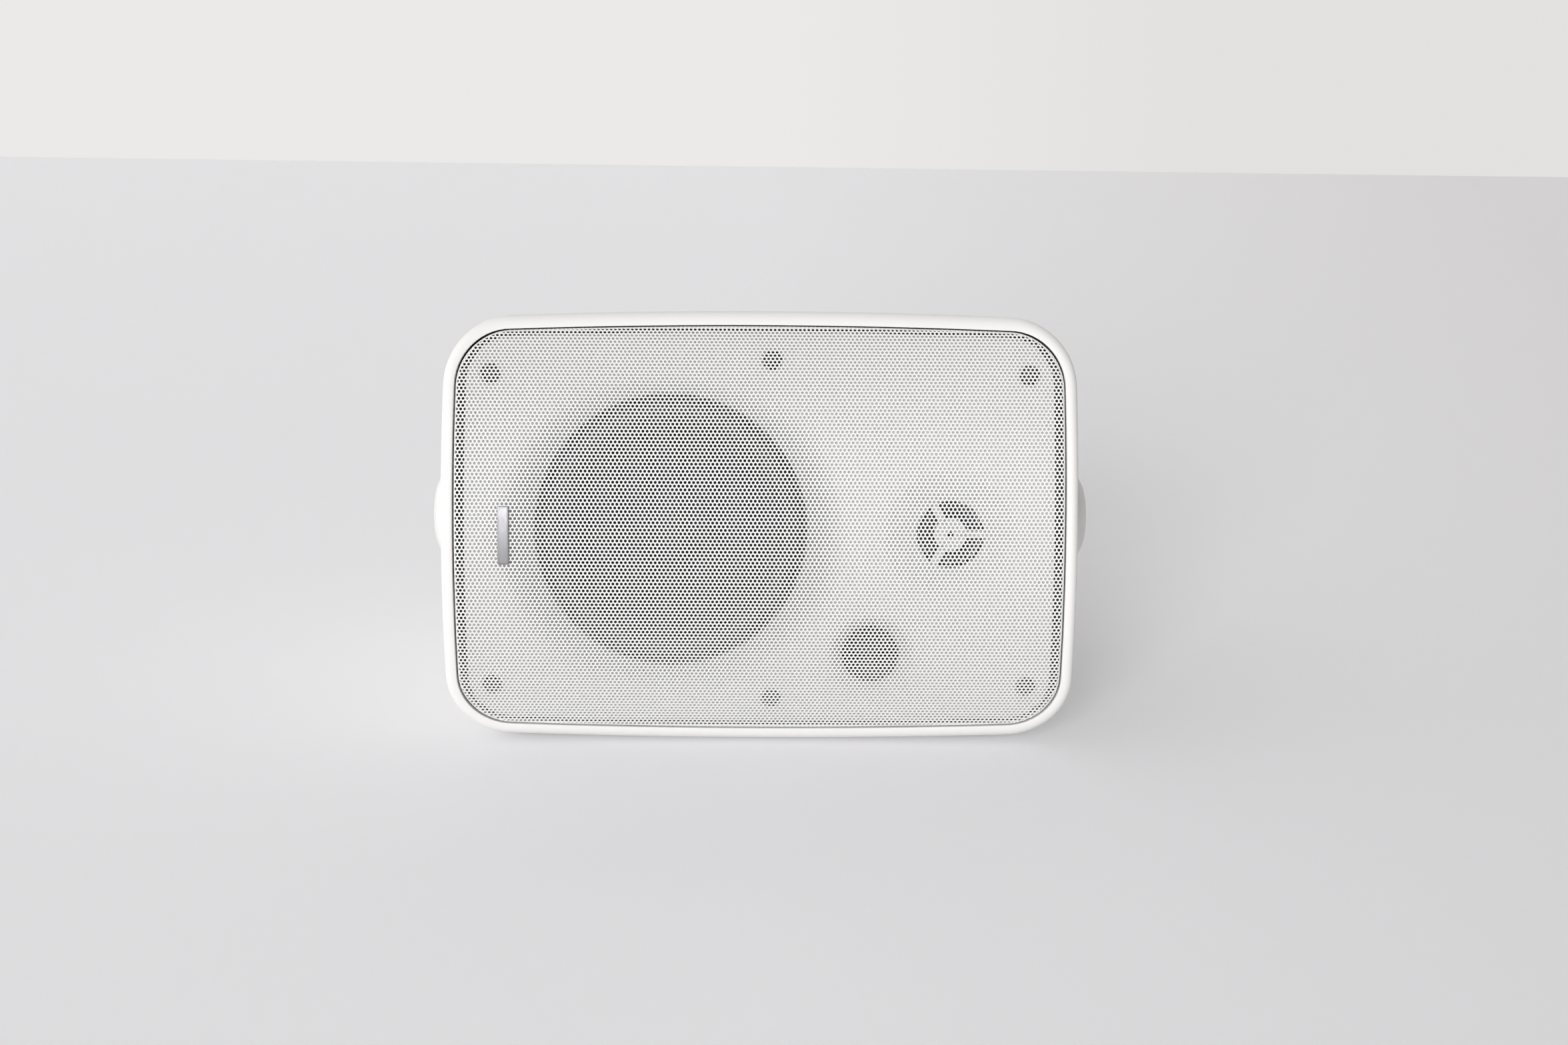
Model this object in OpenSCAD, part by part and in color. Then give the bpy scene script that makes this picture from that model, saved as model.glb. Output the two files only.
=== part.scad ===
// Two-way loudspeaker in a moulded housing with a curved perforated grille and a swinging wall bracket.
// It lies on its long side: front towards -Y, long axis along X, leaning back on its tapered lower wall.

/* [Housing] */
// Half length of the housing, over the rim
body_half_w = 168.8; // [150:0.2:190]
// Half height of the housing at the middle of the rim
body_half_h = 116.5; // [105:0.5:130]
// Depth from the front of the grille to the rear wall
body_depth = 200; // [180:1:230]
// Taper of the long walls, which is also the lean at rest
wall_taper = 12.5; // [10:0.5:14]
// Taper of the short walls
end_taper = 12; // [11.5:0.5:14]
// Wall thickness
wall = 3.5; // [3:0.25:4.5]
// Rise of the long edges at their middle
edge_bow = 2.4; // [0:0.2:4]
// Corner radius seen from the front
corner_r = 35; // [28:1:42]
// Rounding of the rim's outer edge
rim_round = 3; // [1:0.5:4]
// Depth at which the long walls begin to taper
rim_depth = 50; // [48:1:56]
// Depth at which the short walls begin to taper
end_depth = 20; // [14:1:24]

/* [Grille] */
// Radius of the grille's outer face
face_r = 190; // [180:1:220]
// Rim from the grille's gap to the end of the housing
rim_w = 6.2; // [5:0.2:9]
// Rim from the grille's gap to the long side of the housing
rim_h = 6.7; // [5:0.1:9]
// Gap between grille and rim
grille_gap = 0.8; // [0.5:0.1:1.5]
// Sheet thickness
sheet = 1; // [0.8:0.1:1.5]
// Depth of the folded edge behind the face
fold_depth = 5; // [4:0.5:6]
// Distance between openings
hole_pitch = 13.5; // [13.5:0.5:20]
// Diameter of an opening
hole_d = 8.6; // [5:0.1:9]

/* [Baffle] */
// Grille face to baffle face
baffle_behind = 3.5; // [3:0.25:5]
// Plate thickness
baffle_t = 4; // [3:0.5:5]
// Groove between the baffle's ends and the rim
end_groove = 5.2; // [4:0.2:7]
// Groove along the baffle's long sides
long_groove = 3; // [2:0.2:4]
// From the baffle's ends to the outer screws
screw_in_x = 12.6; // [11:0.2:20]
// From the baffle's long sides to the outer screws
screw_in_z = 22; // [18:1:34]
// Position of the middle screws along X
mid_screw_x = 6.5; // [0:0.5:12]
// From the baffle's long sides to the middle screws
mid_screw_in = 14.5; // [12:0.5:16]
// Counterbore diameter
counterbore_d = 10.8; // [9:0.2:12]
// Foam seal thickness
seal_t = 1.5; // [1:0.25:2]

/* [Woofer] */
// Axis along X
woofer_x = -47.8; // [-52:0.5:-44]
// Width of the seat that the frame is screwed to
woofer_seat_w = 10; // [8:0.5:12]
// Width of the flare round the opening
woofer_flare_w = 14; // [9:0.5:16]
// Depth of the mounting plane
woofer_plane = 32; // [30:1:40]
// Frame diameter
woofer_frame_d = 167; // [160:1:170]
// Magnet diameter
woofer_magnet_d = 90; // [80:1:100]
// Cone travel each way
cone_travel = 4; // [2:0.5:5]

/* [Tweeter] */
// Axis along X
tweeter_x = 101.8; // [96:0.5:106]
// Mouth of the waveguide
tweeter_mouth_d = 64; // [55:1:70]
// Throat of the waveguide
tweeter_throat_d = 36; // [32:0.5:40]
// Depth of the throat
tweeter_plane = 12; // [10:0.5:16]
// Hub of the guard
guard_hub_d = 17.5; // [14:0.5:20]
// Spoke width
guard_spoke = 3.9; // [3:0.1:5]
// Dome diameter
dome_d = 25.4; // [19:0.1:28]

/* [Port] */
// Axis along X
port_x = 60; // [55:1:66]
// Axis along Z
port_z = -67.3; // [-70:0.5:-62]
// Bore
port_bore_d = 31; // [26:1:34]
// Mouth of the flare
port_mouth_d = 41; // [36:1:44]
// Tube length
port_len = 95; // [60:1:120]

/* [Bracket and knobs] */
// Depth of the pivot behind the grille
pivot_depth = 98; // [94:1:110]
// Knob diameter
knob_d = 54; // [46:1:60]
// Height of the knob over the bracket arm
knob_stand = 20.7; // [19:0.1:28]
// Strap width
strap_w = 32; // [26:1:36]
// Strap thickness
strap_t = 3; // [2.5:0.5:4]
// Gap between the rear wall and the crossbar
crossbar_gap = 36; // [34:1:60]
// Gap between the housing's side and a bracket arm
arm_gap = 6.58; // [6.5:0.02:10]
// Distance between the wall slots
slot_spacing = 120; // [80:5:180]
// Width of the wall slots
slot_w = 6.5; // [5:0.5:8]
// Length of the wall slots
slot_len = 20; // [12:1:30]
// Centre hole
centre_hole_d = 10; // [8:0.5:14]
// Knob screw diameter
stud_d = 8; // [6:1:10]

/* [Terminals] */
// Recess width
cup_w = 62; // [56:1:70]
// Recess height
cup_h = 44; // [40:1:50]
// Recess depth
cup_depth = 20; // [16:1:26]
// Lever width
lever_w = 15; // [12:1:18]

/* [Hidden] */

FIT = 0.3;
SLIDE = 0.05;
FINE = 96;
BIG = 256;

lean = wall_taper;
grille_half_w = body_half_w - rim_w - grille_gap;
grille_half_h = body_half_h - rim_h - grille_gap;
rim_r = face_r + 0.3;
edge_arc = asin(grille_half_h / face_r);
pocket_half_w = grille_half_w + grille_gap;
pocket_half_h = grille_half_h + grille_gap;
baffle_half_w = grille_half_w - end_groove;
baffle_half_h = grille_half_h - long_groove;
screw_x = baffle_half_w - screw_in_x;
screw_z = baffle_half_h - screw_in_z;
mid_screw_z = baffle_half_h - mid_screw_in;
woofer_open_d = woofer_frame_d - 2 * woofer_seat_w;
woofer_mouth_d = woofer_open_d + 2 * woofer_flare_w;
baffle_r = face_r - baffle_behind;
seat_r = baffle_r - baffle_t - seal_t;
ledge_t = 5;
ledge_in = 5;
rear_round = 5;
rear_corner = 22;

// Half width and half height of the housing at a depth
function half_w_at(y) = body_half_w - max(y - end_depth, 0) * tan(end_taper);
function half_h_at(y) = body_half_h - max(y - rim_depth, 0) * tan(wall_taper);
rear_half_w = half_w_at(body_depth);
rear_half_h = half_h_at(body_depth);
arm_in = half_w_at(pivot_depth) + arm_gap;
knob_reach = arm_in + strap_t + knob_stand;
bracket_reach = body_depth - pivot_depth + crossbar_gap;

// Outline of the front: straight ends, bowed long sides and round corners, all inset by d
function inset_outline(w, h, r, d, n = 8) =
    let (cw = w - r, ch = h - r - edge_bow, rr = max(r - d, 2), cx = w - d - rr, cz = h - d - edge_bow - rr)
    concat(
        [for (i = [0:n]) [cx + rr * cos(90 * i / n), cz + rr * sin(90 * i / n)]],
        [for (i = [1:n - 1]) let (x = cx * (1 - 2 * i / n)) [x, cz + rr + edge_bow * (1 - pow(x / cx, 2))]],
        [for (i = [0:n]) [-cx + rr * cos(90 + 90 * i / n), cz + rr * sin(90 + 90 * i / n)]],
        [for (i = [0:n]) [-cx + rr * cos(180 + 90 * i / n), -cz + rr * sin(180 + 90 * i / n)]],
        [for (i = [1:n - 1]) let (x = cx * (2 * i / n - 1)) [x, -cz - rr - edge_bow * (1 - pow(x / cx, 2))]],
        [for (i = [0:n]) [cx + rr * cos(270 + 90 * i / n), -cz + rr * sin(270 + 90 * i / n)]]);

// Whole object: lean back, stand on the lower wall, centre the box over the origin
front_y = face_r * cos(lean) - rim_r;
back_y = pivot_depth * cos(lean) + bracket_reach + strap_t;
low_z = -rim_depth * sin(lean) - body_half_h * cos(lean);
module placed()
    translate([0, -(front_y + back_y) / 2, -low_z]) rotate([-lean, 0, 0]) children();

// Along the depth: local Z becomes +Y
module at_depth(x, y, z) translate([x, y, z]) rotate([-90, 0, 0]) children();

// Outwards along X on the side given by side, from the pivot
module at_pivot(side) translate([0, pivot_depth, 0]) rotate([0, 90 * side, 0]) children();

// A front outline as a prism between two depths
module prism(w, h, r, d, y0, y1)
    translate([0, y1, 0]) rotate([90, 0, 0]) linear_extrude(y1 - y0) polygon(inset_outline(w, h, r, d));

// The drum that the front is part of
module drum(r, fn = BIG)
    translate([0, face_r, 0]) rotate([0, 90, 0]) cylinder(h = 3 * body_half_w, r = r, center = true, $fn = fn);

module drum_shell(outer, inner)
    translate([0, face_r, 0]) rotate([0, 90, 0]) difference() {
        cylinder(h = 3 * body_half_w, r = outer, center = true, $fn = BIG);
        cylinder(h = 4 * body_half_w, r = inner, center = true, $fn = BIG);
    }

// The plan of the housing, inset by d: straight at the front and tapered behind
module plan_block(d, y0, y1)
    linear_extrude(3 * body_half_h, center = true)
        polygon(concat([for (y = [y0, end_depth, y1]) [half_w_at(y) - d, y]], [for (y = [y1, end_depth, y0]) [d - half_w_at(y), y]]));

// One layer of the rounded rim
module rim_layer(inset, drop)
    intersection() {
        prism(body_half_w, body_half_h, corner_r, inset, -2, rim_depth);
        drum(rim_r - drop, 160);
        plan_block(inset, -3, rim_depth + 1);
    }

// Four round corners that a slab at the rear is stretched over
module rear_corners(inset, y)
    for (sx = [-1, 1], sz = [-1, 1])
        at_depth(sx * (rear_half_w - rear_corner), y, sz * (rear_half_h - rear_corner))
            cylinder(h = 1, r = rear_corner - inset, $fn = 32);

module outer_body()
    hull() {
        rim_layer(rim_round, 0);
        rim_layer(rim_round * 0.3, rim_round * 0.3);
        rim_layer(0, rim_round);
        rear_corners(0, body_depth - rear_round);
        rear_corners(rear_round * 0.7, body_depth - 1);
    }

// The hollow follows the curved ledge in front and the tapered walls behind
cavity_front = rim_depth + 4;
module cavity()
    hull() {
        intersection() {
            prism(body_half_w, body_half_h, corner_r, wall + 1, 0, cavity_front);
            drum(seat_r - ledge_t, 160);
            plan_block(wall + 1, 0, cavity_front + 1);
        }
        rear_corners(wall, body_depth - wall - 1);
    }

screw_spots = [[-screw_x, -screw_z], [-screw_x, screw_z], [screw_x, -screw_z], [screw_x, screw_z],
    [mid_screw_x, -mid_screw_z], [mid_screw_x, mid_screw_z]];
pilot_d = 3.2;
function face_depth(r, z) = face_r - sqrt(r * r - z * z);
post_len = 26;
boss_r = 19;
boss_face = arm_in - 1.8;
insert_d = 13;
insert_len = 14;
board_w = 84;
board_gap = 5;
board_x = cup_w / 2 + board_gap + board_w / 2;
board_h = 62;
board_t = 1.6;
board_y = body_depth - wall - 9;
board_post_r = 4;
board_screws_at = [for (sx = [-1, 1], sz = [-1, 1]) [board_x + sx * (board_w / 2 - 5), sz * (board_h / 2 - 5)]];
cup_flange = 6;
cup_flange_t = 2.5;
cup_screws_at = [for (sx = [-1, 1], sz = [-1, 1]) [sx * (cup_w + cup_flange) / 2, sz * (cup_h + cup_flange) / 2]];
cup_wall = 2;

// Moulded one-piece housing: rim, tapered walls, baffle ledge, screw posts, side bosses and board posts
module cabinet_shell() color([0.94, 0.93, 0.92]) placed()
    difference() {
        union() {
            difference() {
                outer_body();
                cavity();
                difference() {
                    prism(pocket_half_w, pocket_half_h, corner_r - rim_w, 0, -5, rim_depth + 30);
                    drum(seat_r);
                }
                prism(baffle_half_w - ledge_in, baffle_half_h - ledge_in, corner_r - rim_w - end_groove - ledge_in,
                    0, -5, cavity_front + 5);
            }
            intersection() {
                union() {
                    for (p = screw_spots)
                        at_depth(p[0], 0, p[1]) cylinder(h = face_depth(seat_r, p[1]) + post_len, r = 5.5, $fn = FINE);
                    for (p = screw_spots)
                        translate([p[0] - 1.5, 20, p[1] > 0 ? p[1] : -body_half_h]) cube([3, 40, body_half_h - abs(p[1])]);
                    for (side = [-1, 1])
                        at_pivot(side) translate([0, 0, boss_face - insert_len - 5])
                            cylinder(h = insert_len + 5, r = boss_r, $fn = FINE);
                }
                drum(seat_r);
                union() {
                    wall_core();
                    for (side = [-1, 1])
                        at_pivot(side) cylinder(h = boss_face, r = boss_r, $fn = FINE);
                }
            }
            for (p = board_screws_at)
                at_depth(p[0], board_y + board_t, p[1])
                    cylinder(h = body_depth - wall - board_y - board_t + 0.5, r = board_post_r, $fn = FINE);
        }
        for (p = screw_spots)
            at_depth(p[0], -1, p[1]) cylinder(h = face_depth(seat_r, p[1]) + post_len - 3, d = pilot_d, $fn = FINE);
        for (p = board_screws_at)
            at_depth(p[0], board_y, p[1]) cylinder(h = body_depth - wall - board_y - 1, d = 2.5, $fn = FINE);
        for (side = [-1, 1])
            at_pivot(side) translate([0, 0, boss_face - insert_len]) cylinder(h = insert_len + 5, d = insert_d, $fn = FINE);
        translate([-cup_w / 2 - FIT, body_depth - wall - 2, -cup_h / 2 - FIT])
            cube([cup_w + 2 * FIT, wall + 5, cup_h + 2 * FIT]);
        for (p = cup_screws_at)
            at_depth(p[0], body_depth - wall - 1, p[1]) cylinder(h = wall + 5, d = 2.4, $fn = FINE);
    }

// A block that ends inside the walls, which trims the posts and ribs
module wall_core()
    intersection() {
        plan_block(wall / 2, 0, body_depth - 1);
        rotate([90, 0, 90]) linear_extrude(3 * body_half_w, center = true)
            polygon(concat([for (y = [0, rim_depth, body_depth - 1]) [y, half_h_at(y) - wall / 2]],
                [for (y = [body_depth - 1, rim_depth, 0]) [y, wall / 2 - half_h_at(y)]]));
    }

// Flare profiles, as radius and depth from the mounting plane forwards
function flare(r0, r1, y0, y1, n = 8) =
    [for (i = [0:n]) [r1 - (r1 - r0) * cos(90 * i / n), y0 - (y0 - y1) * sin(90 * i / n)]];

module flare_cut(r0, r1, y0, y1)
    rotate_extrude($fn = FINE) polygon(concat([[0, y0 + 40], [r0, y0 + 40]], flare(r0, r1, y0, y1), [[r1, -10], [0, -10]]));

woofer_seat = woofer_plane - baffle_t;
guard_t = 3;
counterbore_depth = 3;
port_front = face_depth(baffle_r, port_z) - 3;
port_flare = 9;
port_back = face_depth(baffle_r - baffle_t, abs(port_z) + port_mouth_d / 2) + 0.5;
frame_r = woofer_frame_d / 2;
frame_screw_r = frame_r - 5;
frame_screw_d = 3.5;
tweeter_frame_r = 34;
tweeter_back = tweeter_plane + guard_t + 0.5;
tweeter_screw_r = 31.4;
tweeter_screw_d = 2.8;
tweeter_turns = [90, 210, 330];
woofer_turns = [45, 135, 225, 315];

// Outside of the dish between the curved panel and the woofer's flat seat
module woofer_dish()
    rotate_extrude($fn = FINE)
        polygon(concat([[0, woofer_plane]], flare(frame_r + 1, woofer_mouth_d / 2 + baffle_t, woofer_plane, -1), [[0, -1]]));

// Moulded curved front panel with the woofer flare, the tweeter waveguide and guard, and the port mouth
module front_baffle() color([0.95, 0.94, 0.92]) placed() {
    tweeter_guard();
    difference() {
        union() {
            intersection() {
                prism(baffle_half_w, baffle_half_h, corner_r - rim_w - end_groove, 0, -5, rim_depth + 20);
                drum_shell(baffle_r, baffle_r - baffle_t);
            }
            intersection() {
                drum(baffle_r);
                union() {
                    at_depth(woofer_x, 0, 0) woofer_dish();
                    at_depth(tweeter_x, 0, 0) cylinder(h = tweeter_back, d = tweeter_mouth_d + 8, $fn = FINE);
                    at_depth(port_x, 0, port_z) cylinder(h = port_back, d = port_mouth_d + 5, $fn = FINE);
                }
            }
            for (p = screw_spots)
                intersection() {
                    drum_shell(baffle_r, seat_r + FIT);
                    at_depth(p[0], 0, p[1]) cylinder(h = rim_depth, d = counterbore_d + 4, $fn = FINE);
                }
        }
        at_depth(woofer_x, 0, 0) flare_cut(woofer_open_d / 2, woofer_mouth_d / 2, woofer_seat, 0);
        at_depth(tweeter_x, 0, 0) flare_cut(tweeter_throat_d / 2, tweeter_mouth_d / 2, tweeter_plane, 2);
        at_depth(port_x, 0, port_z) flare_cut(port_bore_d / 2, port_mouth_d / 2, port_front + port_flare, port_front);
        for (p = screw_spots) {
            at_depth(p[0], -5, p[1]) cylinder(h = face_depth(baffle_r, p[1]) + 5 + counterbore_depth, d = counterbore_d, $fn = FINE);
            at_depth(p[0], -5, p[1]) cylinder(h = 80, d = 4.3, $fn = FINE);
        }
        for (a = woofer_turns)
            at_depth(woofer_x, woofer_plane - 3, 0) rotate(a) translate([frame_screw_r, 0, 0])
                cylinder(h = 4, d = frame_screw_d, $fn = FINE);
        for (a = tweeter_turns)
            at_depth(tweeter_x, tweeter_back - 5, 0) rotate(a) translate([tweeter_screw_r, 0, 0])
                cylinder(h = 6, d = tweeter_screw_d, $fn = FINE);
    }
}

// Hub and three spokes across the waveguide's throat
module tweeter_guard()
    at_depth(tweeter_x, tweeter_plane, 0) difference() {
        union() {
            cylinder(h = guard_t, d = guard_hub_d, $fn = FINE);
            for (a = [0, 120, 240])
                rotate(a) translate([0, -guard_spoke / 2, 0.3])
                    cube([tweeter_throat_d / 2 + 1.5, guard_spoke, guard_t - 0.6]);
        }
        translate([0, 0, -1]) cylinder(h = guard_t + 2, d = 3.3, $fn = FINE);
    }

// Foam strip between baffle and ledge
module baffle_seal() color([0.2, 0.2, 0.2]) placed()
    intersection() {
        difference() {
            prism(baffle_half_w, baffle_half_h, corner_r - rim_w - end_groove, 0.4, -5, rim_depth + 20);
            prism(baffle_half_w, baffle_half_h, corner_r - rim_w - end_groove, ledge_in - 0.8, -5, rim_depth + 20);
        }
        drum_shell(baffle_r - baffle_t - SLIDE, seat_r + SLIDE);
    }

// Pan-head screw along the depth, head first
module screw(head_d, head_h, shank_d, shank_len) {
    difference() {
        cylinder(h = head_h, d = head_d, $fn = 48);
        for (a = [0, 90]) rotate(a) translate([-head_d * 0.3, -head_d * 0.06, -0.1]) cube([head_d * 0.6, head_d * 0.12, head_h * 0.6]);
    }
    translate([0, 0, head_h]) cylinder(h = shank_len, d = shank_d, $fn = 48);
}

module baffle_screws() color([0.25, 0.25, 0.26]) placed()
    for (p = screw_spots)
        at_depth(p[0], face_depth(baffle_r, p[1]) + counterbore_depth - 2.4, p[1])
            screw(8, 2.4, pilot_d - 0.02, 20);

row_step = hole_pitch * sqrt(3) / 2 / face_r * 180 / PI;
rows = floor((edge_arc - 2.2) / row_step);
columns = floor((grille_half_w - 5) / hole_pitch);

// Rolled and perforated steel sheet with its edge folded back into the rim's groove
module grille() color([0.93, 0.93, 0.91]) placed()
    difference() {
        union() {
            intersection() {
                prism(grille_half_w, grille_half_h, corner_r - rim_w, 0, -5, rim_depth);
                drum_shell(face_r, face_r - sheet);
            }
            intersection() {
                difference() {
                    prism(grille_half_w, grille_half_h, corner_r - rim_w, 0, -5, rim_depth);
                    prism(grille_half_w, grille_half_h, corner_r - rim_w, sheet, -6, rim_depth + 1);
                }
                drum_shell(face_r - sheet / 2, face_r - fold_depth);
            }
        }
        for (row = [-rows:rows])
            translate([0, face_r, 0]) rotate([row * row_step, 0, 0])
                for (i = [-columns:columns - abs(row % 2)])
                    if (in_face(i * hole_pitch + abs(row % 2) * hole_pitch / 2, row * row_step))
                        translate([i * hole_pitch + abs(row % 2) * hole_pitch / 2, -face_r, 0])
                            rotate([90, 0, 0]) cylinder(h = 6, d = hole_d, center = true, $fn = 24);
    }

// Openings stay clear of the round corners
function in_face(x, a) =
    let (r = corner_r - rim_w, dx = abs(x) - (grille_half_w - r), dz = face_r * sin(abs(a)) - (grille_half_h - edge_bow - r))
    dx < 0 || dz < 0 || norm([dx, dz]) < r - hole_d / 2 - 2;

badge_x = -135.5;
badge_w = 6;
badge_h = 31;
// Blank metal plate near the left end of the grille
module badge_plate() color([0.72, 0.72, 0.73]) placed()
    intersection() {
        translate([badge_x - badge_w / 2, -3, -badge_h / 2]) cube([badge_w, 6, badge_h]);
        drum_shell(face_r + 1.1, face_r + 0.05);
    }

tube_t = 2;
// Tuned tube glued to the back of the baffle, with a flared inner end
module port_tube() color([0.93, 0.92, 0.9]) placed()
    at_depth(port_x, port_back, port_z) rotate_extrude($fn = FINE)
        polygon(concat([[port_bore_d / 2, 0], [port_mouth_d / 2, 0], [port_mouth_d / 2, 2], [port_bore_d / 2 + tube_t, 2],
            [port_bore_d / 2 + tube_t, port_len - 8]],
            [for (i = [1:5]) [port_bore_d / 2 + tube_t + 6 * (1 - cos(18 * i)), port_len - 8 + 8 * sin(18 * i)]],
            [for (i = [5:-1:1]) [port_bore_d / 2 + 6 * (1 - cos(18 * i)), port_len - 8 + 8 * sin(18 * i)]],
            [[port_bore_d / 2, port_len - 8]]));

// Turned parts of the woofer are given as radius and depth
module woofer_turned(points) placed()
    translate([woofer_x, 0, 0]) rotate([-90, 0, 0]) rotate_extrude($fn = FINE) polygon(points);

gasket_t = 2.5;
frame_y = woofer_plane + gasket_t;
frame_t = 1.6;
roll_in = frame_r - 26.5;
roll_out = frame_r - 12.5;
rim_out = frame_r - 8;
spider_y = frame_y + 33;
basket_back = frame_y + 48;
magnet_r = woofer_magnet_d / 2;
plate_t = 5;
magnet_t = 16;
coil_r = 12.75;
pole_r = 12.3;
gap_r = 13.75;
neck_y = frame_y + 25;
coil_back = plate_t + cone_travel;

module woofer_gasket() color([0.15, 0.15, 0.15])
    difference() {
        woofer_turned([[rim_out + 0.3, woofer_plane], [frame_r, woofer_plane], [frame_r, frame_y], [rim_out + 0.3, frame_y]]);
        placed() for (a = woofer_turns)
            at_depth(woofer_x, woofer_plane - 1, 0) rotate(a) translate([frame_screw_r, 0, 0])
                cylinder(h = gasket_t + 2, d = frame_screw_d + 0.3, $fn = FINE);
    }

basket_windows = 4;
module woofer_basket() color([0.12, 0.12, 0.13])
    difference() {
        woofer_turned([[roll_out - 0.5, frame_y], [frame_r, frame_y], [frame_r, frame_y + frame_t],
            [roll_out + 1.5, frame_y + frame_t], [roll_out - 11, frame_y + 20], [48, spider_y + 1], [46, spider_y + 3], [43, basket_back],
            [20, basket_back], [20, basket_back - frame_t], [41.5, basket_back - frame_t], [44, spider_y + 1.8],
            [40, spider_y + 1.8], [40, spider_y + 0.3], [46.5, spider_y + 0.3], [roll_out - 12.5, frame_y + 20]]);
        placed() for (a = [0:360 / basket_windows:359])
            at_depth(woofer_x, frame_y + 7, 0) rotate(a + 45)
                translate([0, -17, 0]) cube([100, 34, 22]);
        placed() for (a = woofer_turns)
            at_depth(woofer_x, frame_y - 1, 0) rotate(a) translate([frame_screw_r, 0, 0]) cylinder(h = 5, d = 4.4, $fn = FINE);
    }

// Butyl half-roll edge
module woofer_surround() color([0.08, 0.08, 0.08])
    woofer_turned(concat([[rim_out, frame_y - 0.8], [rim_out, frame_y - 0.1], [roll_out - 0.6, frame_y - 0.1]],
        [for (a = [15:15:165]) [(roll_in + roll_out) / 2 + 6.4 * cos(a), frame_y - 0.1 - 6.4 * sin(a)]],
        [[roll_in + 0.6, frame_y - 0.1], [roll_in - 2, frame_y + 0.9], [roll_in - 2, frame_y + 0.1], [roll_in, frame_y - 0.8]],
        [for (a = [165:-15:15]) [(roll_in + roll_out) / 2 + 7.2 * cos(a), frame_y - 0.8 - 7.2 * sin(a)]],
        [[roll_out, frame_y - 0.8]]));

module woofer_cone() color([0.1, 0.1, 0.11])
    woofer_turned(concat([for (i = [0:6]) [roll_in - 1 - (roll_in - 1 - 13.3) * i / 6, frame_y + 1.3 + (neck_y - frame_y - 1.3) * pow(i / 6, 0.8)]],
        [for (i = [6:-1:0]) [roll_in - 1 - (roll_in - 1 - 13.3) * i / 6, frame_y + 2.2 + (neck_y - frame_y - 1.3) * pow(i / 6, 0.8)]]));

cap_r = 22;
cap_y = frame_y + 1 + (neck_y - frame_y - 1.3) * pow((roll_in - 1 - cap_r) / (roll_in - 1 - 13.3), 0.8);
module woofer_dust_cap() color([0.07, 0.07, 0.08])
    woofer_turned(concat([for (a = [0:10:90]) [cap_r * cos(a), cap_y - 8 * sin(a)]],
        [for (a = [90:-10:0]) [(cap_r - 0.7) * cos(a), cap_y - 7.3 * sin(a)]]));

module woofer_spider() color([0.75, 0.6, 0.3])
    woofer_turned(concat([for (i = [0:26]) [13.2 + i * (43.5 - 13.2) / 26, spider_y - 0.1 + (i % 4 == 1 ? -1 : i % 4 == 3 ? -1 : i % 4 == 2 ? -2 : 0) * (i < 24 ? 1 : 0)]],
        [for (i = [26:-1:0]) [13.2 + i * (43.5 - 13.2) / 26, spider_y - 0.6 + (i % 4 == 1 ? -1 : i % 4 == 3 ? -1 : i % 4 == 2 ? -2 : 0) * (i < 24 ? 1 : 0)]]));

module voice_coil_former() color([0.75, 0.75, 0.78])
    woofer_turned([[coil_r, neck_y - 1], [coil_r + 0.25, neck_y - 1], [coil_r + 0.25, basket_back + coil_back + 1], [coil_r, basket_back + coil_back + 1]]);

// The winding is longer than the gap by the cone's travel at each end
module voice_coil_winding() color([0.72, 0.4, 0.2])
    woofer_turned([[coil_r + 0.27, basket_back - cone_travel], [coil_r + 0.7, basket_back - cone_travel],
        [coil_r + 0.7, basket_back + coil_back], [coil_r + 0.27, basket_back + coil_back]]);

module woofer_top_plate() color([0.6, 0.6, 0.62])
    woofer_turned([[gap_r, basket_back], [42, basket_back], [42, basket_back + plate_t], [gap_r, basket_back + plate_t]]);

module woofer_magnet() color([0.16, 0.16, 0.17])
    woofer_turned([[23, basket_back + plate_t], [magnet_r - 1, basket_back + plate_t], [magnet_r, basket_back + plate_t + 1],
        [magnet_r, basket_back + plate_t + magnet_t - 1], [magnet_r - 1, basket_back + plate_t + magnet_t],
        [23, basket_back + plate_t + magnet_t]]);

module woofer_yoke() color([0.6, 0.6, 0.62])
    woofer_turned([[4, basket_back], [pole_r, basket_back], [pole_r, basket_back + plate_t + magnet_t], [42, basket_back + plate_t + magnet_t],
        [42, basket_back + 2 * plate_t + magnet_t], [4, basket_back + 2 * plate_t + magnet_t]]);

// Driven from behind through frame and gasket into the baffle
module woofer_screws() color([0.3, 0.3, 0.32]) placed()
    for (a = woofer_turns)
        at_depth(woofer_x, frame_y + frame_t, 0) rotate(a) translate([frame_screw_r, 0, 0]) {
            cylinder(h = 2.4, d = 7.5, $fn = 48);
            translate([0, 0, -frame_t - gasket_t - 2.8])
                cylinder(h = frame_t + gasket_t + 2.8, d = frame_screw_d - 0.02, $fn = 48);
        }

// Tweeter, turned about its own axis
module tweeter_turned(points) placed()
    translate([tweeter_x, 0, 0]) rotate([-90, 0, 0]) rotate_extrude($fn = FINE) polygon(points);

dome_r = dome_d / 2;
frame_back = tweeter_back + 7;
tweeter_coil_r = dome_r - 0.4;

module tweeter_frame() color([0.1, 0.1, 0.1])
    difference() {
        tweeter_turned([[tweeter_throat_d / 2, tweeter_back], [tweeter_frame_r, tweeter_back], [tweeter_frame_r, tweeter_back + 3],
            [28, tweeter_back + 3], [28, frame_back], [tweeter_throat_d / 2 - 1, frame_back], [tweeter_throat_d / 2 - 1, tweeter_back + 4]]);
        placed() for (a = tweeter_turns)
            at_depth(tweeter_x, tweeter_back - 1, 0) rotate(a) translate([tweeter_screw_r, 0, 0])
                cylinder(h = 6, d = tweeter_screw_d + 0.3, $fn = FINE);
    }

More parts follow.
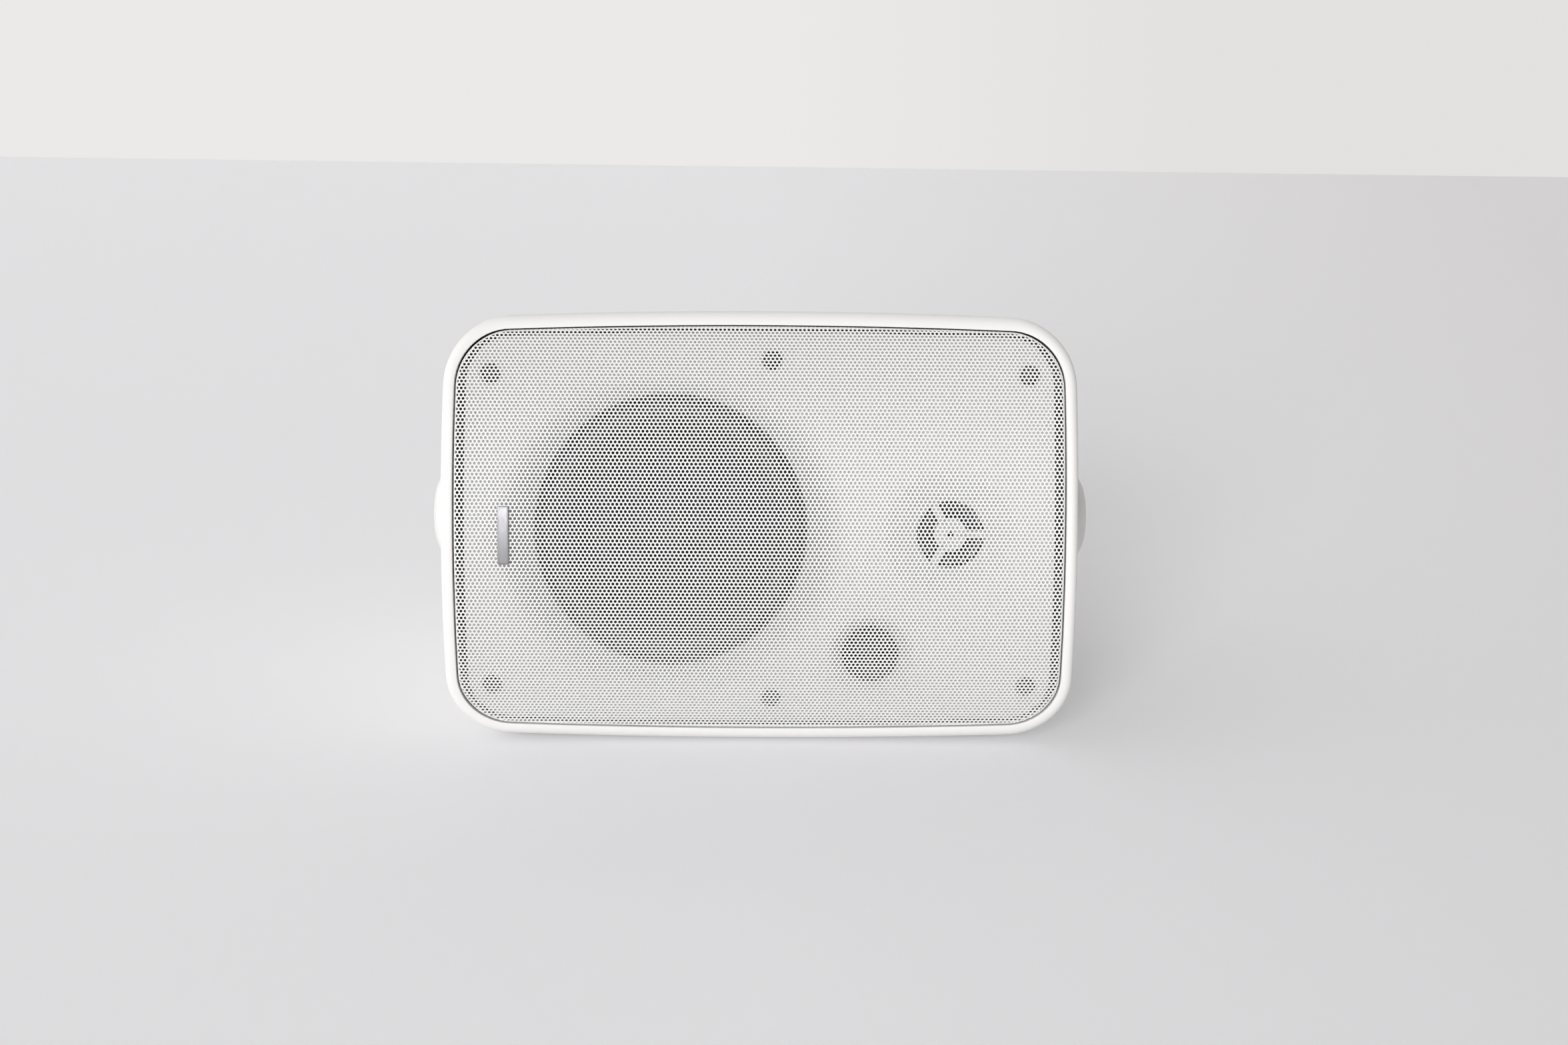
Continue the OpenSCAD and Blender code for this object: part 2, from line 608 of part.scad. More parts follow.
dome_rise = 5;
dome_curve = (dome_r * dome_r + dome_rise * dome_rise) / (2 * dome_rise);
module tweeter_dome() color([0.12, 0.12, 0.14])
    tweeter_turned(concat([for (i = [0:8]) let (a = asin(dome_r / dome_curve) * i / 8)
            [dome_curve * sin(a), frame_back - 0.4 - dome_rise + dome_curve * (1 - cos(a))]],
        [[tweeter_throat_d / 2 - 1.4, frame_back - 0.3], [tweeter_throat_d / 2 - 1.4, frame_back - 0.05]],
        [for (i = [8:-1:0]) let (a = asin(dome_r / dome_curve) * i / 8)
            [dome_curve * sin(a) - (i > 0 ? 0.15 : 0), frame_back - 0.05 - dome_rise + dome_curve * (1 - cos(a))]]));

module tweeter_voice_coil() color([0.75, 0.45, 0.2])
    tweeter_turned([[tweeter_coil_r, frame_back], [tweeter_coil_r + 0.5, frame_back], [tweeter_coil_r + 0.5, frame_back + 5], [tweeter_coil_r, frame_back + 5]]);

module tweeter_top_plate() color([0.6, 0.6, 0.62])
    tweeter_turned([[tweeter_coil_r + 0.9, frame_back + 0.3], [28, frame_back + 0.3], [28, frame_back + 3.3], [tweeter_coil_r + 0.9, frame_back + 3.3]]);

module tweeter_magnet() color([0.16, 0.16, 0.17])
    tweeter_turned([[17, frame_back + 3.3], [30, frame_back + 3.3], [30, frame_back + 12.3], [17, frame_back + 12.3]]);

module tweeter_yoke() color([0.6, 0.6, 0.62])
    tweeter_turned([[0, frame_back + 0.6], [tweeter_coil_r - 0.4, frame_back + 0.6], [tweeter_coil_r - 0.4, frame_back + 12.3],
        [28, frame_back + 12.3], [28, frame_back + 15.3], [0, frame_back + 15.3]]);

module tweeter_screws() color([0.3, 0.3, 0.32]) placed()
    for (a = tweeter_turns)
        at_depth(tweeter_x, tweeter_back + 3, 0) rotate(a) translate([tweeter_screw_r, 0, 0]) {
            cylinder(h = 2, d = 5, $fn = 48);
            translate([0, 0, -7.8]) cylinder(h = 7.8, d = tweeter_screw_d - 0.02, $fn = 48);
        }

// Crossover on the inside of the rear wall
module crossover_board() color([0.2, 0.45, 0.25]) placed()
    difference() {
        translate([board_x - board_w / 2, board_y, -board_h / 2]) cube([board_w, board_t, board_h]);
        for (p = board_screws_at) at_depth(p[0], board_y - 1, p[1]) cylinder(h = 5, d = 3.2, $fn = FINE);
    }

coil_x = board_x - 20;
module crossover_coil_bobbin() color([0.15, 0.15, 0.15]) placed()
    at_depth(coil_x, board_y - 20, 0) rotate_extrude($fn = FINE)
        polygon([[5, 0], [17, 0], [17, 2], [8, 2], [8, 18], [17, 18], [17, 20], [5, 20]]);

module crossover_coil() color([0.75, 0.45, 0.2]) placed()
    at_depth(coil_x, board_y - 18 + 0.1, 0) rotate_extrude($fn = FINE)
        polygon([[8.1, 0], [15.5, 0], [15.5, 15.8], [8.1, 15.8]]);

module crossover_capacitor() color([0.85, 0.75, 0.25]) placed()
    for (z = [4, 21])
        translate([board_x + 8, board_y - 7.5, z]) rotate([0, 90, 0]) cylinder(h = 26, d = 14.4, $fn = FINE);

module crossover_resistor() color([0.92, 0.92, 0.9]) placed()
    translate([board_x + 8, board_y - 9.3, -24]) cube([26, 9, 9]);

module board_screws() color([0.7, 0.7, 0.72]) placed()
    for (p = board_screws_at)
        at_depth(p[0], board_y - 2, p[1]) {
            cylinder(h = 2, d = 5.5, $fn = 48);
            translate([0, 0, 2]) cylinder(h = 7, d = 2.48, $fn = 48);
        }

// Recessed spring-clip terminals
lever_gap = 8;
lever_len = 26;
lever_open = 25;
pivot_z = 10;
lever_pin_d = 2.5;
pin_seat = 3;
wire_hole_d = 3.2;
cup_floor = body_depth - cup_depth;
lever_y = cup_floor + cup_wall + 5;
function lever_x(side) = side * (lever_gap + lever_w) / 2;

// Moulded recess with a screwed flange and the cheeks that carry the lever pins
module terminal_cup() color([0.13, 0.13, 0.13]) placed()
    difference() {
        union() {
            difference() {
                union() {
                    translate([-cup_w / 2, cup_floor, -cup_h / 2]) cube([cup_w, cup_depth + cup_flange_t, cup_h]);
                    translate([-cup_w / 2 - cup_flange, body_depth + 0.02, -cup_h / 2 - cup_flange])
                        cube([cup_w + 2 * cup_flange, cup_flange_t - 0.02, cup_h + 2 * cup_flange]);
                }
                translate([-cup_w / 2 + cup_wall, cup_floor + cup_wall, -cup_h / 2 + cup_wall])
                    cube([cup_w - 2 * cup_wall, cup_depth + 5, cup_h - 2 * cup_wall]);
            }
            cheek(-lever_gap / 2 + FIT, lever_gap / 2 - FIT);
            for (side = [-1, 1])
                cheek(min(side * (lever_gap / 2 + lever_w + FIT), side * (cup_w / 2 - 1)),
                    max(side * (lever_gap / 2 + lever_w + FIT), side * (cup_w / 2 - 1)));
        }
        for (side = [-1, 1]) {
            lever_axis(side, lever_w + 2 * FIT + 2 * pin_seat + 0.2, lever_pin_d);
            at_depth(lever_x(side), cup_floor - 1, -cup_h / 2 + 7) cylinder(h = cup_wall + 2, d = wire_hole_d, $fn = FINE);
        }
        for (p = cup_screws_at) at_depth(p[0], body_depth - 1, p[1]) cylinder(h = 6, d = 3.2, $fn = FINE);
    }

module cheek(x0, x1) translate([x0, cup_floor + 1, pivot_z - 4]) cube([x1 - x0, cup_wall + 8, 8]);

module lever_axis(side, len, d)
    translate([lever_x(side), lever_y, pivot_z]) rotate([0, 90, 0]) cylinder(h = len, d = d, center = true, $fn = FINE);

// Sprung lever with a ribbed thumb end, pivoted on a pin
module lever(side)
    difference() {
        translate([lever_x(side) - lever_w / 2, lever_y, pivot_z]) rotate([lever_open, 0, 0]) rotate([90, 0, 90])
            linear_extrude(lever_w) polygon([[-3, 3], [-3, -lever_len], [-1, -lever_len - 1], [3, -lever_len - 1],
                [4, -lever_len + 1], [3, -lever_len + 4], [4, -lever_len + 6], [3, -lever_len + 9], [1.5, -9], [3, -3], [3, 3]]);
        lever_axis(side, lever_w + 2, lever_pin_d);
    }

module red_lever() color([0.75, 0.1, 0.1]) placed() lever(-1);
module black_lever() color([0.08, 0.08, 0.08]) placed() lever(1);

// Lever pins, and the nickel tabs behind the recess
module terminal_contacts() color([0.8, 0.78, 0.7]) placed()
    for (side = [-1, 1]) {
        lever_axis(side, lever_w + 2 * FIT + 2 * pin_seat, lever_pin_d - 2 * SLIDE);
        translate([lever_x(side) - 2, cup_floor - 8, 0]) cube([4, 8, 0.8]);
    }

module cup_screws() color([0.3, 0.3, 0.32]) placed()
    for (p = cup_screws_at)
        at_depth(p[0], body_depth + cup_flange_t + 0.02, p[1]) {
            cylinder(h = 1.8, d = 5.5, $fn = 48);
            translate([0, 0, -9]) cylinder(h = 9, d = 2.38, $fn = 48);
        }

// The bracket is folded from one strap: two arms with round ends and a crossbar with wall slots
pivot_y = pivot_depth * cos(lean) - (front_y + back_y) / 2;
pivot_z_up = -pivot_depth * sin(lean) - low_z;
bend_r = 8;
module wall_bracket() color([0.92, 0.92, 0.9])
    translate([0, pivot_y, pivot_z_up])
        difference() {
            union() {
                intersection() {
                    translate([0, 0, -strap_w / 2]) linear_extrude(strap_w) difference() {
                        bracket_plan(arm_in + strap_t, bracket_reach + strap_t, bend_r + strap_t);
                        bracket_plan(arm_in, bracket_reach, bend_r);
                    }
                    union() {
                        translate([-2 * arm_in, 0, -strap_w / 2]) cube([4 * arm_in, 2 * bracket_reach, strap_w]);
                        rotate([0, 90, 0]) cylinder(h = 4 * arm_in, d = strap_w, center = true, $fn = FINE);
                    }
                }
            }
            for (side = [-1, 1])
                rotate([0, 90 * side, 0]) translate([0, 0, arm_in - 1]) cylinder(h = strap_t + 2, d = stud_d + 0.6, $fn = FINE);
            for (side = [-1, 1])
                translate([side * slot_spacing / 2, bracket_reach - 1, 0]) rotate([-90, 0, 0]) wall_slot();
            translate([0, bracket_reach - 1, 0]) rotate([-90, 0, 0]) cylinder(h = strap_t + 2, d = centre_hole_d, $fn = FINE);
        }

module bracket_plan(w, reach, r) {
    translate([-w, -strap_w]) square([2 * w, reach + strap_w - r]);
    translate([-w + r, reach - r - 1]) square([2 * w - 2 * r, r + 1]);
    for (s = [-1, 1]) translate([s * (w - r), reach - r]) circle(r = r, $fn = FINE);
}

module wall_slot() {
    for (s = [-1, 1]) translate([s * (slot_len - slot_w) / 2, 0, 0]) cylinder(h = strap_t + 2, d = slot_w, $fn = FINE);
    translate([-(slot_len - slot_w) / 2, -slot_w / 2, 0]) cube([slot_len - slot_w, slot_w, strap_t + 2]);
}

// Knob stack, measured outwards from the centre
washer_t = 1.5;
washer_out = arm_in + strap_t + 0.2;
knob_in = washer_out + washer_t + 0.1;
knob_edge = 4.5;
knob_dome = knob_reach - knob_in - knob_edge;
stud_r = stud_d / 2;
stud_in = boss_face - insert_len + 1;

module brass_inserts() color([0.8, 0.65, 0.3]) placed()
    for (side = [-1, 1])
        at_pivot(side) translate([0, 0, boss_face - insert_len]) difference() {
            cylinder(h = insert_len, d = insert_d - 0.04, $fn = FINE);
            translate([0, 0, -1]) cylinder(h = insert_len + 2, r = stud_r + SLIDE, $fn = FINE);
        }

module friction_washers() color([0.1, 0.1, 0.1]) placed()
    for (side = [-1, 1])
        at_pivot(side) translate([0, 0, boss_face + 0.02]) difference() {
            cylinder(h = washer_t, r = 14, $fn = FINE);
            translate([0, 0, -1]) cylinder(h = 4, r = stud_r + 0.5, $fn = FINE);
        }

module knob(side)
    at_pivot(side) translate([0, 0, knob_in]) rotate_extrude($fn = FINE)
        polygon(concat([[stud_r + 0.02, 0], [11, 0], [11, 5], [knob_d / 2 - 5, 5], [knob_d / 2 - 5, 0], [knob_d / 2 - 1, 0], [knob_d / 2, 1]],
            [for (a = [0:9:90]) [(knob_d / 2) * pow(cos(a), 0.7), knob_edge + knob_dome * sin(a)]],
            [[0, 13], [stud_r + 0.02, 13]]));

module stud(side)
    at_pivot(side) translate([0, 0, stud_in]) cylinder(h = knob_in + 13 - stud_in - 0.05, r = stud_r, $fn = FINE);

module flat_washer(side)
    at_pivot(side) translate([0, 0, washer_out]) difference() {
        cylinder(h = washer_t, r = 10, $fn = FINE);
        translate([0, 0, -1]) cylinder(h = 4, r = stud_r + 0.1, $fn = FINE);
    }

module left_knob() color([0.93, 0.92, 0.9]) placed() knob(-1);
module right_knob() color([0.93, 0.92, 0.9]) placed() knob(1);
module left_knob_stud() color([0.75, 0.75, 0.77]) placed() stud(-1);
module right_knob_stud() color([0.75, 0.75, 0.77]) placed() stud(1);
module left_washer() color([0.75, 0.75, 0.77]) placed() flat_washer(-1);
module right_washer() color([0.75, 0.75, 0.77]) placed() flat_washer(1);

cabinet_shell();
front_baffle();
baffle_seal();
baffle_screws();
grille();
badge_plate();
port_tube();
woofer_gasket();
woofer_basket();
woofer_surround();
woofer_cone();
woofer_dust_cap();
woofer_spider();
voice_coil_former();
voice_coil_winding();
woofer_top_plate();
woofer_magnet();
woofer_yoke();
woofer_screws();
tweeter_frame();
tweeter_dome();
tweeter_voice_coil();
tweeter_top_plate();
tweeter_magnet();
tweeter_yoke();
tweeter_screws();
crossover_board();
crossover_coil();
crossover_coil_bobbin();
crossover_capacitor();
crossover_resistor();
board_screws();
terminal_cup();
red_lever();
black_lever();
terminal_contacts();
cup_screws();
wall_bracket();
brass_inserts();
friction_washers();
left_knob();
left_knob_stud();
left_washer();
right_knob();
right_knob_stud();
right_washer();
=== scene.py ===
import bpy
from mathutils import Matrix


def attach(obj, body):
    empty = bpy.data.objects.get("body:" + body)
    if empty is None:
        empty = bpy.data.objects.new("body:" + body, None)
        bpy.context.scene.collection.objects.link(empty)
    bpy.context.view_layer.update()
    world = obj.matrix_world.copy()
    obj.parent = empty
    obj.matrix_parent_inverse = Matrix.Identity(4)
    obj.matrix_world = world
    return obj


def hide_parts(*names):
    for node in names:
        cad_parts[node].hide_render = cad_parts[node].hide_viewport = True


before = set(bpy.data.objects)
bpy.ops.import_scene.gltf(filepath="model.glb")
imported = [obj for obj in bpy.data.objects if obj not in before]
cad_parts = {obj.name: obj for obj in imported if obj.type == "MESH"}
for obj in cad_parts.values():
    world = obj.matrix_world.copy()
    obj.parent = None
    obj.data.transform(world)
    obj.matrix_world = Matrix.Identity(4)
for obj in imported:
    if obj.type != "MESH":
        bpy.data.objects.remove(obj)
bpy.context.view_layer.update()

import math

import bmesh
import bpy
import numpy as np
from mathutils import Matrix, Vector

# Camera
# It stands a little above the middle of the panel and looks slightly down on it. The cabinet leans
# back on its tapered lower wall, and the view was fitted in the cabinet's own frame.
LEAN = math.radians(12.5)
LEAN_BACK = Matrix.Rotation(-LEAN, 3, "X")
VIEW_FROM, VIEW_LENS, VIEW_TURN = (0.00699, -1.5858, 0.6551), 67.84, (7.07, 0.22, -0.25)
view = bpy.data.cameras.new("view")
view.sensor_width = 36
view.lens = VIEW_LENS
view.clip_end = 50
camera = bpy.data.objects.new("camera", view)
bpy.context.scene.collection.objects.link(camera)
bpy.context.scene.camera = camera
tilt, roll, swing = (Matrix.Rotation(math.radians(turn), 3, axis) for turn, axis in zip(VIEW_TURN, "XYZ"))
upright = Matrix(((1, 0, 0), (0, 0, -1), (0, 1, 0)))
camera.matrix_world = (Matrix.Translation(VIEW_FROM)
                       @ (LEAN_BACK @ upright @ (swing @ roll @ tilt).transposed()).to_4x4())

# Studio
# A pale table top that ends behind the object, a lighter wall beyond it, and soft light from the
# front and the left. The wall's brightness is for the camera and for reflections only. Both papers
# get darker towards the right, which is painted shade.
class Wire:
    """A socket of a node tree. Operators add Math nodes, and node() adds any other kind."""

    def __init__(self, tree, socket=None):
        self.tree, self.socket = tree, socket

    def node(self, kind, settings=(), sockets=(), out=0):
        made = self.tree.nodes.new("ShaderNode" + kind)
        for name, value in dict(settings).items():
            setattr(made, name, value)
        for name, value in dict(sockets).items():
            if isinstance(value, Wire):
                self.tree.links.new(value.socket, made.inputs[name])
            else:
                made.inputs[name].default_value = value
        return Wire(self.tree, None if out is None else made.outputs[out])

    def math(self, operation, a, b):
        return self.node("Math", {"operation": operation}, {0: a, 1: b})

    def mix(self, part, a, b):
        pair = [(*end, 1) if isinstance(end, tuple) else end for end in (a, b)]
        return self.node("Mix", {"data_type": "RGBA"}, {0: part, 6: pair[0], 7: pair[1]}, out=2)

    def __radd__(self, other):
        return self.math("ADD", other, self)

    def __sub__(self, other):
        return self.math("SUBTRACT", self, other)

    def __rsub__(self, other):
        return self.math("SUBTRACT", other, self)

    def __mul__(self, other):
        return self.math("MULTIPLY", self, other)


class Finish(Wire):
    """A material with one Principled shader. Constants go on its sockets and feed() links the rest."""

    def __init__(self, name, colour, roughness, **constants):
        self.material = bpy.data.materials.new(name)
        self.material.use_nodes = True
        super().__init__(self.material.node_tree)
        self.shader = self.tree.nodes["Principled BSDF"]
        self.shader.inputs["Base Color"].default_value = (*colour, 1)
        self.shader.inputs["Roughness"].default_value = roughness
        for socket, value in constants.items():
            self.shader.inputs[socket.replace("_", " ")].default_value = value
        self.here = self.node("TexCoord", out="Object")

    def feed(self, socket, wire):
        self.tree.links.new(wire.socket, self.shader.inputs[socket])

    def noise(self, scale, detail=2.0, stretch=None):
        here = self.here
        if stretch:
            here = self.node("VectorMath", {"operation": "MULTIPLY"}, {0: here, 1: stretch})
        return self.node("TexNoise", {}, {"Vector": here, "Scale": scale, "Detail": detail})

    def grained(self, fine, low, high, roughness=None, relief=None, broad=None):
        """Colour by the broad pattern, or by the fine one where there is none. Roughness (least, spread)
        and relief (distance, strength) go by the fine one."""
        self.feed("Base Color", self.mix(fine if broad is None else broad, low, high))
        if roughness:
            self.feed("Roughness", roughness[0] + fine * roughness[1])
        if relief:
            self.feed("Normal", self.node("Bump", {}, {"Height": fine, "Distance": relief[0],
                                                       "Strength": relief[1]}))


def smooth(mesh, smooth_below):
    """Shades a mesh smooth but for the edges that turn more than smooth_below degrees."""
    mesh.polygons.foreach_set("use_smooth", [True] * len(mesh.polygons))
    mesh.set_sharp_from_angle(angle=math.radians(smooth_below))


CABINET_ORIGIN = Vector((0, -0.1159366, 0.1245605))


def placed(points):
    """The cabinet's millimetres to the row's metres. Its own frame leans back: x is to the right, y is
    the depth behind the grille's front and z is up."""
    return np.asarray(points, float) / 1000 @ np.array(LEAN_BACK).T + np.array(CABINET_ORIGIN)


def shape(name, points, faces, material, smooth_below=40, metres=False, outward=True):
    """A new mesh object. Its faces are turned outward, which outward=False leaves out where they are."""
    mesh = bpy.data.meshes.new(name)
    points = np.asarray(points, float) if metres else placed(points)
    mesh.from_pydata(points.tolist(), [], faces if isinstance(faces, list) else faces.tolist())
    if outward:
        work = bmesh.new()
        work.from_mesh(mesh)
        bmesh.ops.recalc_face_normals(work, faces=work.faces)
        work.to_mesh(mesh)
        work.free()
    smooth(mesh, smooth_below)
    mesh.materials.append(material)
    piece = bpy.data.objects.new(name, mesh)
    bpy.context.scene.collection.objects.link(piece)
    return piece


bpy.context.scene.view_settings.view_transform = "Standard"


def seen_directly(nodes):
    """1 for the camera, and for what shows in gloss and glass; 0 for all other light."""
    seen = nodes.node("LightPath", out="Is Camera Ray")
    for kind in ("Is Glossy Ray", "Is Transmission Ray"):
        seen = nodes.math("MAXIMUM", seen, nodes.node("LightPath", out=kind))
    return seen


# How far right of the middle, in metres, the papers' painted shade reaches its full depth.
SHADE_FULL_AT = 0.7


def backdrop(name, colour, shaded_colour, lit):
    """Paper with painted shade: its colour darkens from the middle to the right. To the camera, a share of
    its light is its own.
    """
    material = bpy.data.materials.new(name)
    material.use_nodes = True
    nodes = Wire(material.node_tree)
    material.node_tree.nodes.clear()
    place = nodes.node("TexCoord", out="Object")
    across = nodes.node("SeparateXYZ", {}, {0: place}, out="X")
    painted_shade = nodes.node("MapRange", {}, {"Value": across, "From Min": 0.0, "From Max": SHADE_FULL_AT})
    shade = nodes.mix(painted_shade, colour, shaded_colour)
    paper = nodes.node("BsdfDiffuse", {}, {"Color": shade})
    glow = nodes.node("Emission", {}, {"Color": shade, "Strength": 1.0})
    own = nodes.node("MixShader", {}, {0: seen_directly(nodes) * lit, 1: paper, 2: glow})
    nodes.node("OutputMaterial", {}, {"Surface": own}, out=None)
    return material


# Each paper's second colour is its painted shade at the right.
table = shape("table_top", [(-4, -4, 0), (4, -4, 0), (4, 1.17, 0), (-4, 1.47, 0)], [(0, 1, 2, 3)],
              backdrop("table_paper", (0.85, 0.845, 0.862), (0.735, 0.725, 0.739), 0.25), metres=True)
wall = shape("back_wall", [(-6, 3.2, -3), (6, 3.2, -3), (6, 3.2, 4), (-6, 3.2, 4)], [(0, 1, 2, 3)],
             backdrop("wall_paper", (0.835, 0.822, 0.81), (0.77, 0.755, 0.745), 1.0), metres=True)

# The room gives most of its light from the left, and a softbox stands beside the camera.
ROOM_LEVEL, ROOM_LEFT, ROOM_LOW, ROOM_COLOUR = 0.76, 0.60, 0.32, (1.0, 0.997, 0.99, 1)
SOFTBOX_LEVEL, SOFTBOX_ANGLE, SOFTBOX_FROM = 0.56, 24, (-0.25, -0.90, 0.36)
world = bpy.data.worlds.new("room")
bpy.context.scene.world = world
world.use_nodes = True
room = Wire(world.node_tree)
air = world.node_tree.nodes["Background"].inputs
toward = room.node("TexCoord", out="Generated")
sideways = room.node("SeparateXYZ", {}, {0: toward}, out="X")
upward = room.node("SeparateXYZ", {}, {0: toward}, out="Z")
world.node_tree.links.new((ROOM_LEVEL - sideways * ROOM_LEFT - upward * ROOM_LOW).socket, air["Strength"])
air["Color"].default_value = ROOM_COLOUR

softbox_light = bpy.data.lights.new("softbox", "SUN")
softbox_light.energy = math.pi * SOFTBOX_LEVEL
softbox_light.angle = math.radians(SOFTBOX_ANGLE)
softbox = bpy.data.objects.new("softbox", softbox_light)
bpy.context.scene.collection.objects.link(softbox)
softbox.rotation_euler = Vector(SOFTBOX_FROM).to_track_quat("Z", "Y").to_euler()

# Housing
# One white ABS moulding: a curved rim with a rounded edge, walls that taper to the rear, a ledge for the
# front panel, and a boss on each side for the hand knobs' brass inserts. The screw posts behind the
# ledge and the board's posts stay out of sight and aren't drawn here.
HALF_W, HALF_H, CORNER, REAR_CORNER, BOW = 168.8, 116.5, 35, 22, 2.4
FACE_R, RIM_R, SEAT_R = 190, 190.3, 181
RIM_ROUND, REAR_ROUND, WALL, DEPTH = 3.6, 5, 3.5, 200
TAPER_FROM, END_TAPER_FROM, END_TAPER, END_DELAY = 50, 20, math.radians(12), 0.36
POCKET_W, POCKET_H, POCKET_CORNER = 162.6, 109.8, 28.8
LEDGE_W, LEDGE_H, LEDGE_CORNER, LEDGE_T = 151.6, 101, 18.6, 5
CUP_HALF_W, CUP_HALF_H = 31.3, 22.3


def outline(half_w, half_h, corner, bow=BOW, inset=0.0):
    """Points (x, z) round an outline with straight ends, bowed long sides and quarter-round corners."""
    r = max(corner - inset, 2)
    cx, cz = half_w - inset - r, half_h - inset - bow - r
    turn = np.radians(np.linspace(0, 90, 15))
    top = np.linspace(cx, -cx, 34)[1:-1]
    side = np.linspace(cz, -cz, 30)[1:-1]
    arc = [np.c_[r * np.cos(turn + k * math.pi / 2), r * np.sin(turn + k * math.pi / 2)] for k in range(4)]
    lift = bow * (1 - (top / cx) ** 2)
    left, right = np.c_[np.full(len(side), -cx - r), side], np.c_[np.full(len(side), cx + r), -side]
    return np.concatenate([arc[0] + (cx, cz), np.c_[top, cz + r + lift], arc[1] + (-cx, cz), left,
                           arc[2] + (-cx, -cz), np.c_[-top, -cz - r - lift], arc[3] + (cx, -cz), right])


def on_drum(flat, radius):
    """Lays an outline on the drum that the front is part of."""
    depth = FACE_R - np.sqrt(radius ** 2 - flat[:, 1] ** 2)
    return np.c_[flat[:, 0], depth, flat[:, 1]]


def taper(depth, inset=0.0):
    """The wall's outline at one depth behind the rim."""
    back = (depth - TAPER_FROM) / (DEPTH - TAPER_FROM)
    half_w = HALF_W - (depth - END_TAPER_FROM) * math.tan(END_TAPER)
    half_h = HALF_H - (depth - TAPER_FROM) * math.tan(LEAN)
    flat = outline(half_w, half_h, CORNER + (REAR_CORNER - CORNER) * back, BOW * (1 - back), inset)
    return np.c_[flat[:, 0], np.full(len(flat), depth), flat[:, 1]]


def shoulder(front, back, part):
    """Between the rim's edge and the start of the long taper; the ends draw in from END_TAPER_FROM."""
    ring = front + (back - front) * part
    drawn = max(part - END_DELAY, 0) / (1 - END_DELAY)
    ring[:, 0] = front[:, 0] + (back[:, 0] - front[:, 0]) * drawn
    return ring


def cup_opening(depth):
    """The terminal recess's outline, with a point for each point of the wall's outline."""
    flat = taper(DEPTH)[:, [0, 2]]
    across, up = np.maximum(abs(flat), 1e-6).T
    flat = flat * np.minimum(CUP_HALF_W / across, CUP_HALF_H / up)[:, None]
    return np.c_[flat[:, 0], np.full(len(flat), depth), flat[:, 1]]


def pocket(radius, inset=0.0):
    """The grille pocket's outline on a drum."""
    return on_drum(outline(POCKET_W, POCKET_H, POCKET_CORNER, inset=inset), radius)


rim = []
for turned in np.radians(np.linspace(0, 90, 8)):
    rim.append(on_drum(outline(HALF_W, HALF_H, CORNER, inset=RIM_ROUND * (1 - math.sin(turned))),
                       RIM_R - RIM_ROUND * (1 - math.cos(turned))))
ledge_edge = outline(LEDGE_W, LEDGE_H, LEDGE_CORNER)
inner_rim = on_drum(outline(HALF_W, HALF_H, CORNER, inset=WALL + 1), SEAT_R - LEDGE_T)
walls = [shoulder(rim[-1], taper(TAPER_FROM), part) for part in (0.12, 0.24, END_DELAY, 0.5, 0.75)]
rings = [pocket(SEAT_R), pocket(RIM_R - 0.5), pocket(RIM_R - 0.15, -0.15), pocket(RIM_R, -0.5)]
rings += rim + walls + [taper(depth) for depth in (TAPER_FROM, 56, 80, 120, 160, 190, DEPTH - REAR_ROUND)]
for turned in np.radians(np.linspace(18, 90, 5)):
    rings.append(taper(DEPTH - REAR_ROUND * (1 - math.sin(turned)), REAR_ROUND * (1 - math.cos(turned))))
rear = rings[-1]
rings += [rear + (cup_opening(DEPTH) - rear) * part for part in (0.3, 0.65, 1.0)]
inner_rear = taper(DEPTH - WALL, WALL + 4)
rings += [cup_opening(DEPTH - WALL), inner_rear]
rings += [taper(depth, WALL) for depth in (192, 160, 120, 80, 56)]
rings += [shoulder(inner_rim, taper(TAPER_FROM + 4, WALL), part) for part in (0.75, 0.5, 0.25)]
rings += [inner_rim, on_drum(ledge_edge, SEAT_R - LEDGE_T), on_drum(ledge_edge, SEAT_R)]


def skin(rings, closed=False):
    """Points and quads of a surface stretched over rings of equal length."""
    n = len(rings[0])
    faces = []
    for k in range(len(rings) - (0 if closed else 1)):
        a, b = k * n, (k + 1) % len(rings) * n
        faces += [(a + i, a + (i + 1) % n, b + (i + 1) % n, b + i) for i in range(n)]
    return np.concatenate(rings), faces


housing_white = Finish("housing_plastic", (0.86, 0.85, 0.835), 0.42, Specular_IOR_Level=0.45)
housing_white.grained(housing_white.noise(2600, 3.0), (0.865, 0.857, 0.842), (0.852, 0.842, 0.825),
                      (0.36, 0.16), (0.00006, 0.35), broad=housing_white.noise(26))

points, faces = skin(rings, closed=True)
housing = shape("housing", points, faces, housing_white.material, 38)


def turned_form(profile, axis_at, along, name, material, steps=96, smooth_below=38):
    """A lathe form: a closed profile of (radius, distance) turned round the axis through axis_at."""
    along = Vector(along).normalized()
    side = along.orthogonal().normalized()
    up = along.cross(side)
    points, faces, starts, counts = [], [], [], []
    for radius, far in profile:
        starts.append(len(points))
        counts.append(1 if radius == 0 else steps)
        for a in np.arange(counts[-1]) * 2 * math.pi / steps:
            points.append(Vector(axis_at) + along * far + (side * math.cos(a) + up * math.sin(a)) * radius)
    for k in range(len(profile)):
        a, na = starts[k], counts[k]
        b, nb = starts[(k + 1) % len(profile)], counts[(k + 1) % len(profile)]
        if na + nb > 2:
            faces += [list(dict.fromkeys((a + i % na, a + (i + 1) % na, b + (i + 1) % nb, b + i % nb)))
                      for i in range(steps)]
    return shape(name, [tuple(p) for p in points], faces, material, smooth_below)


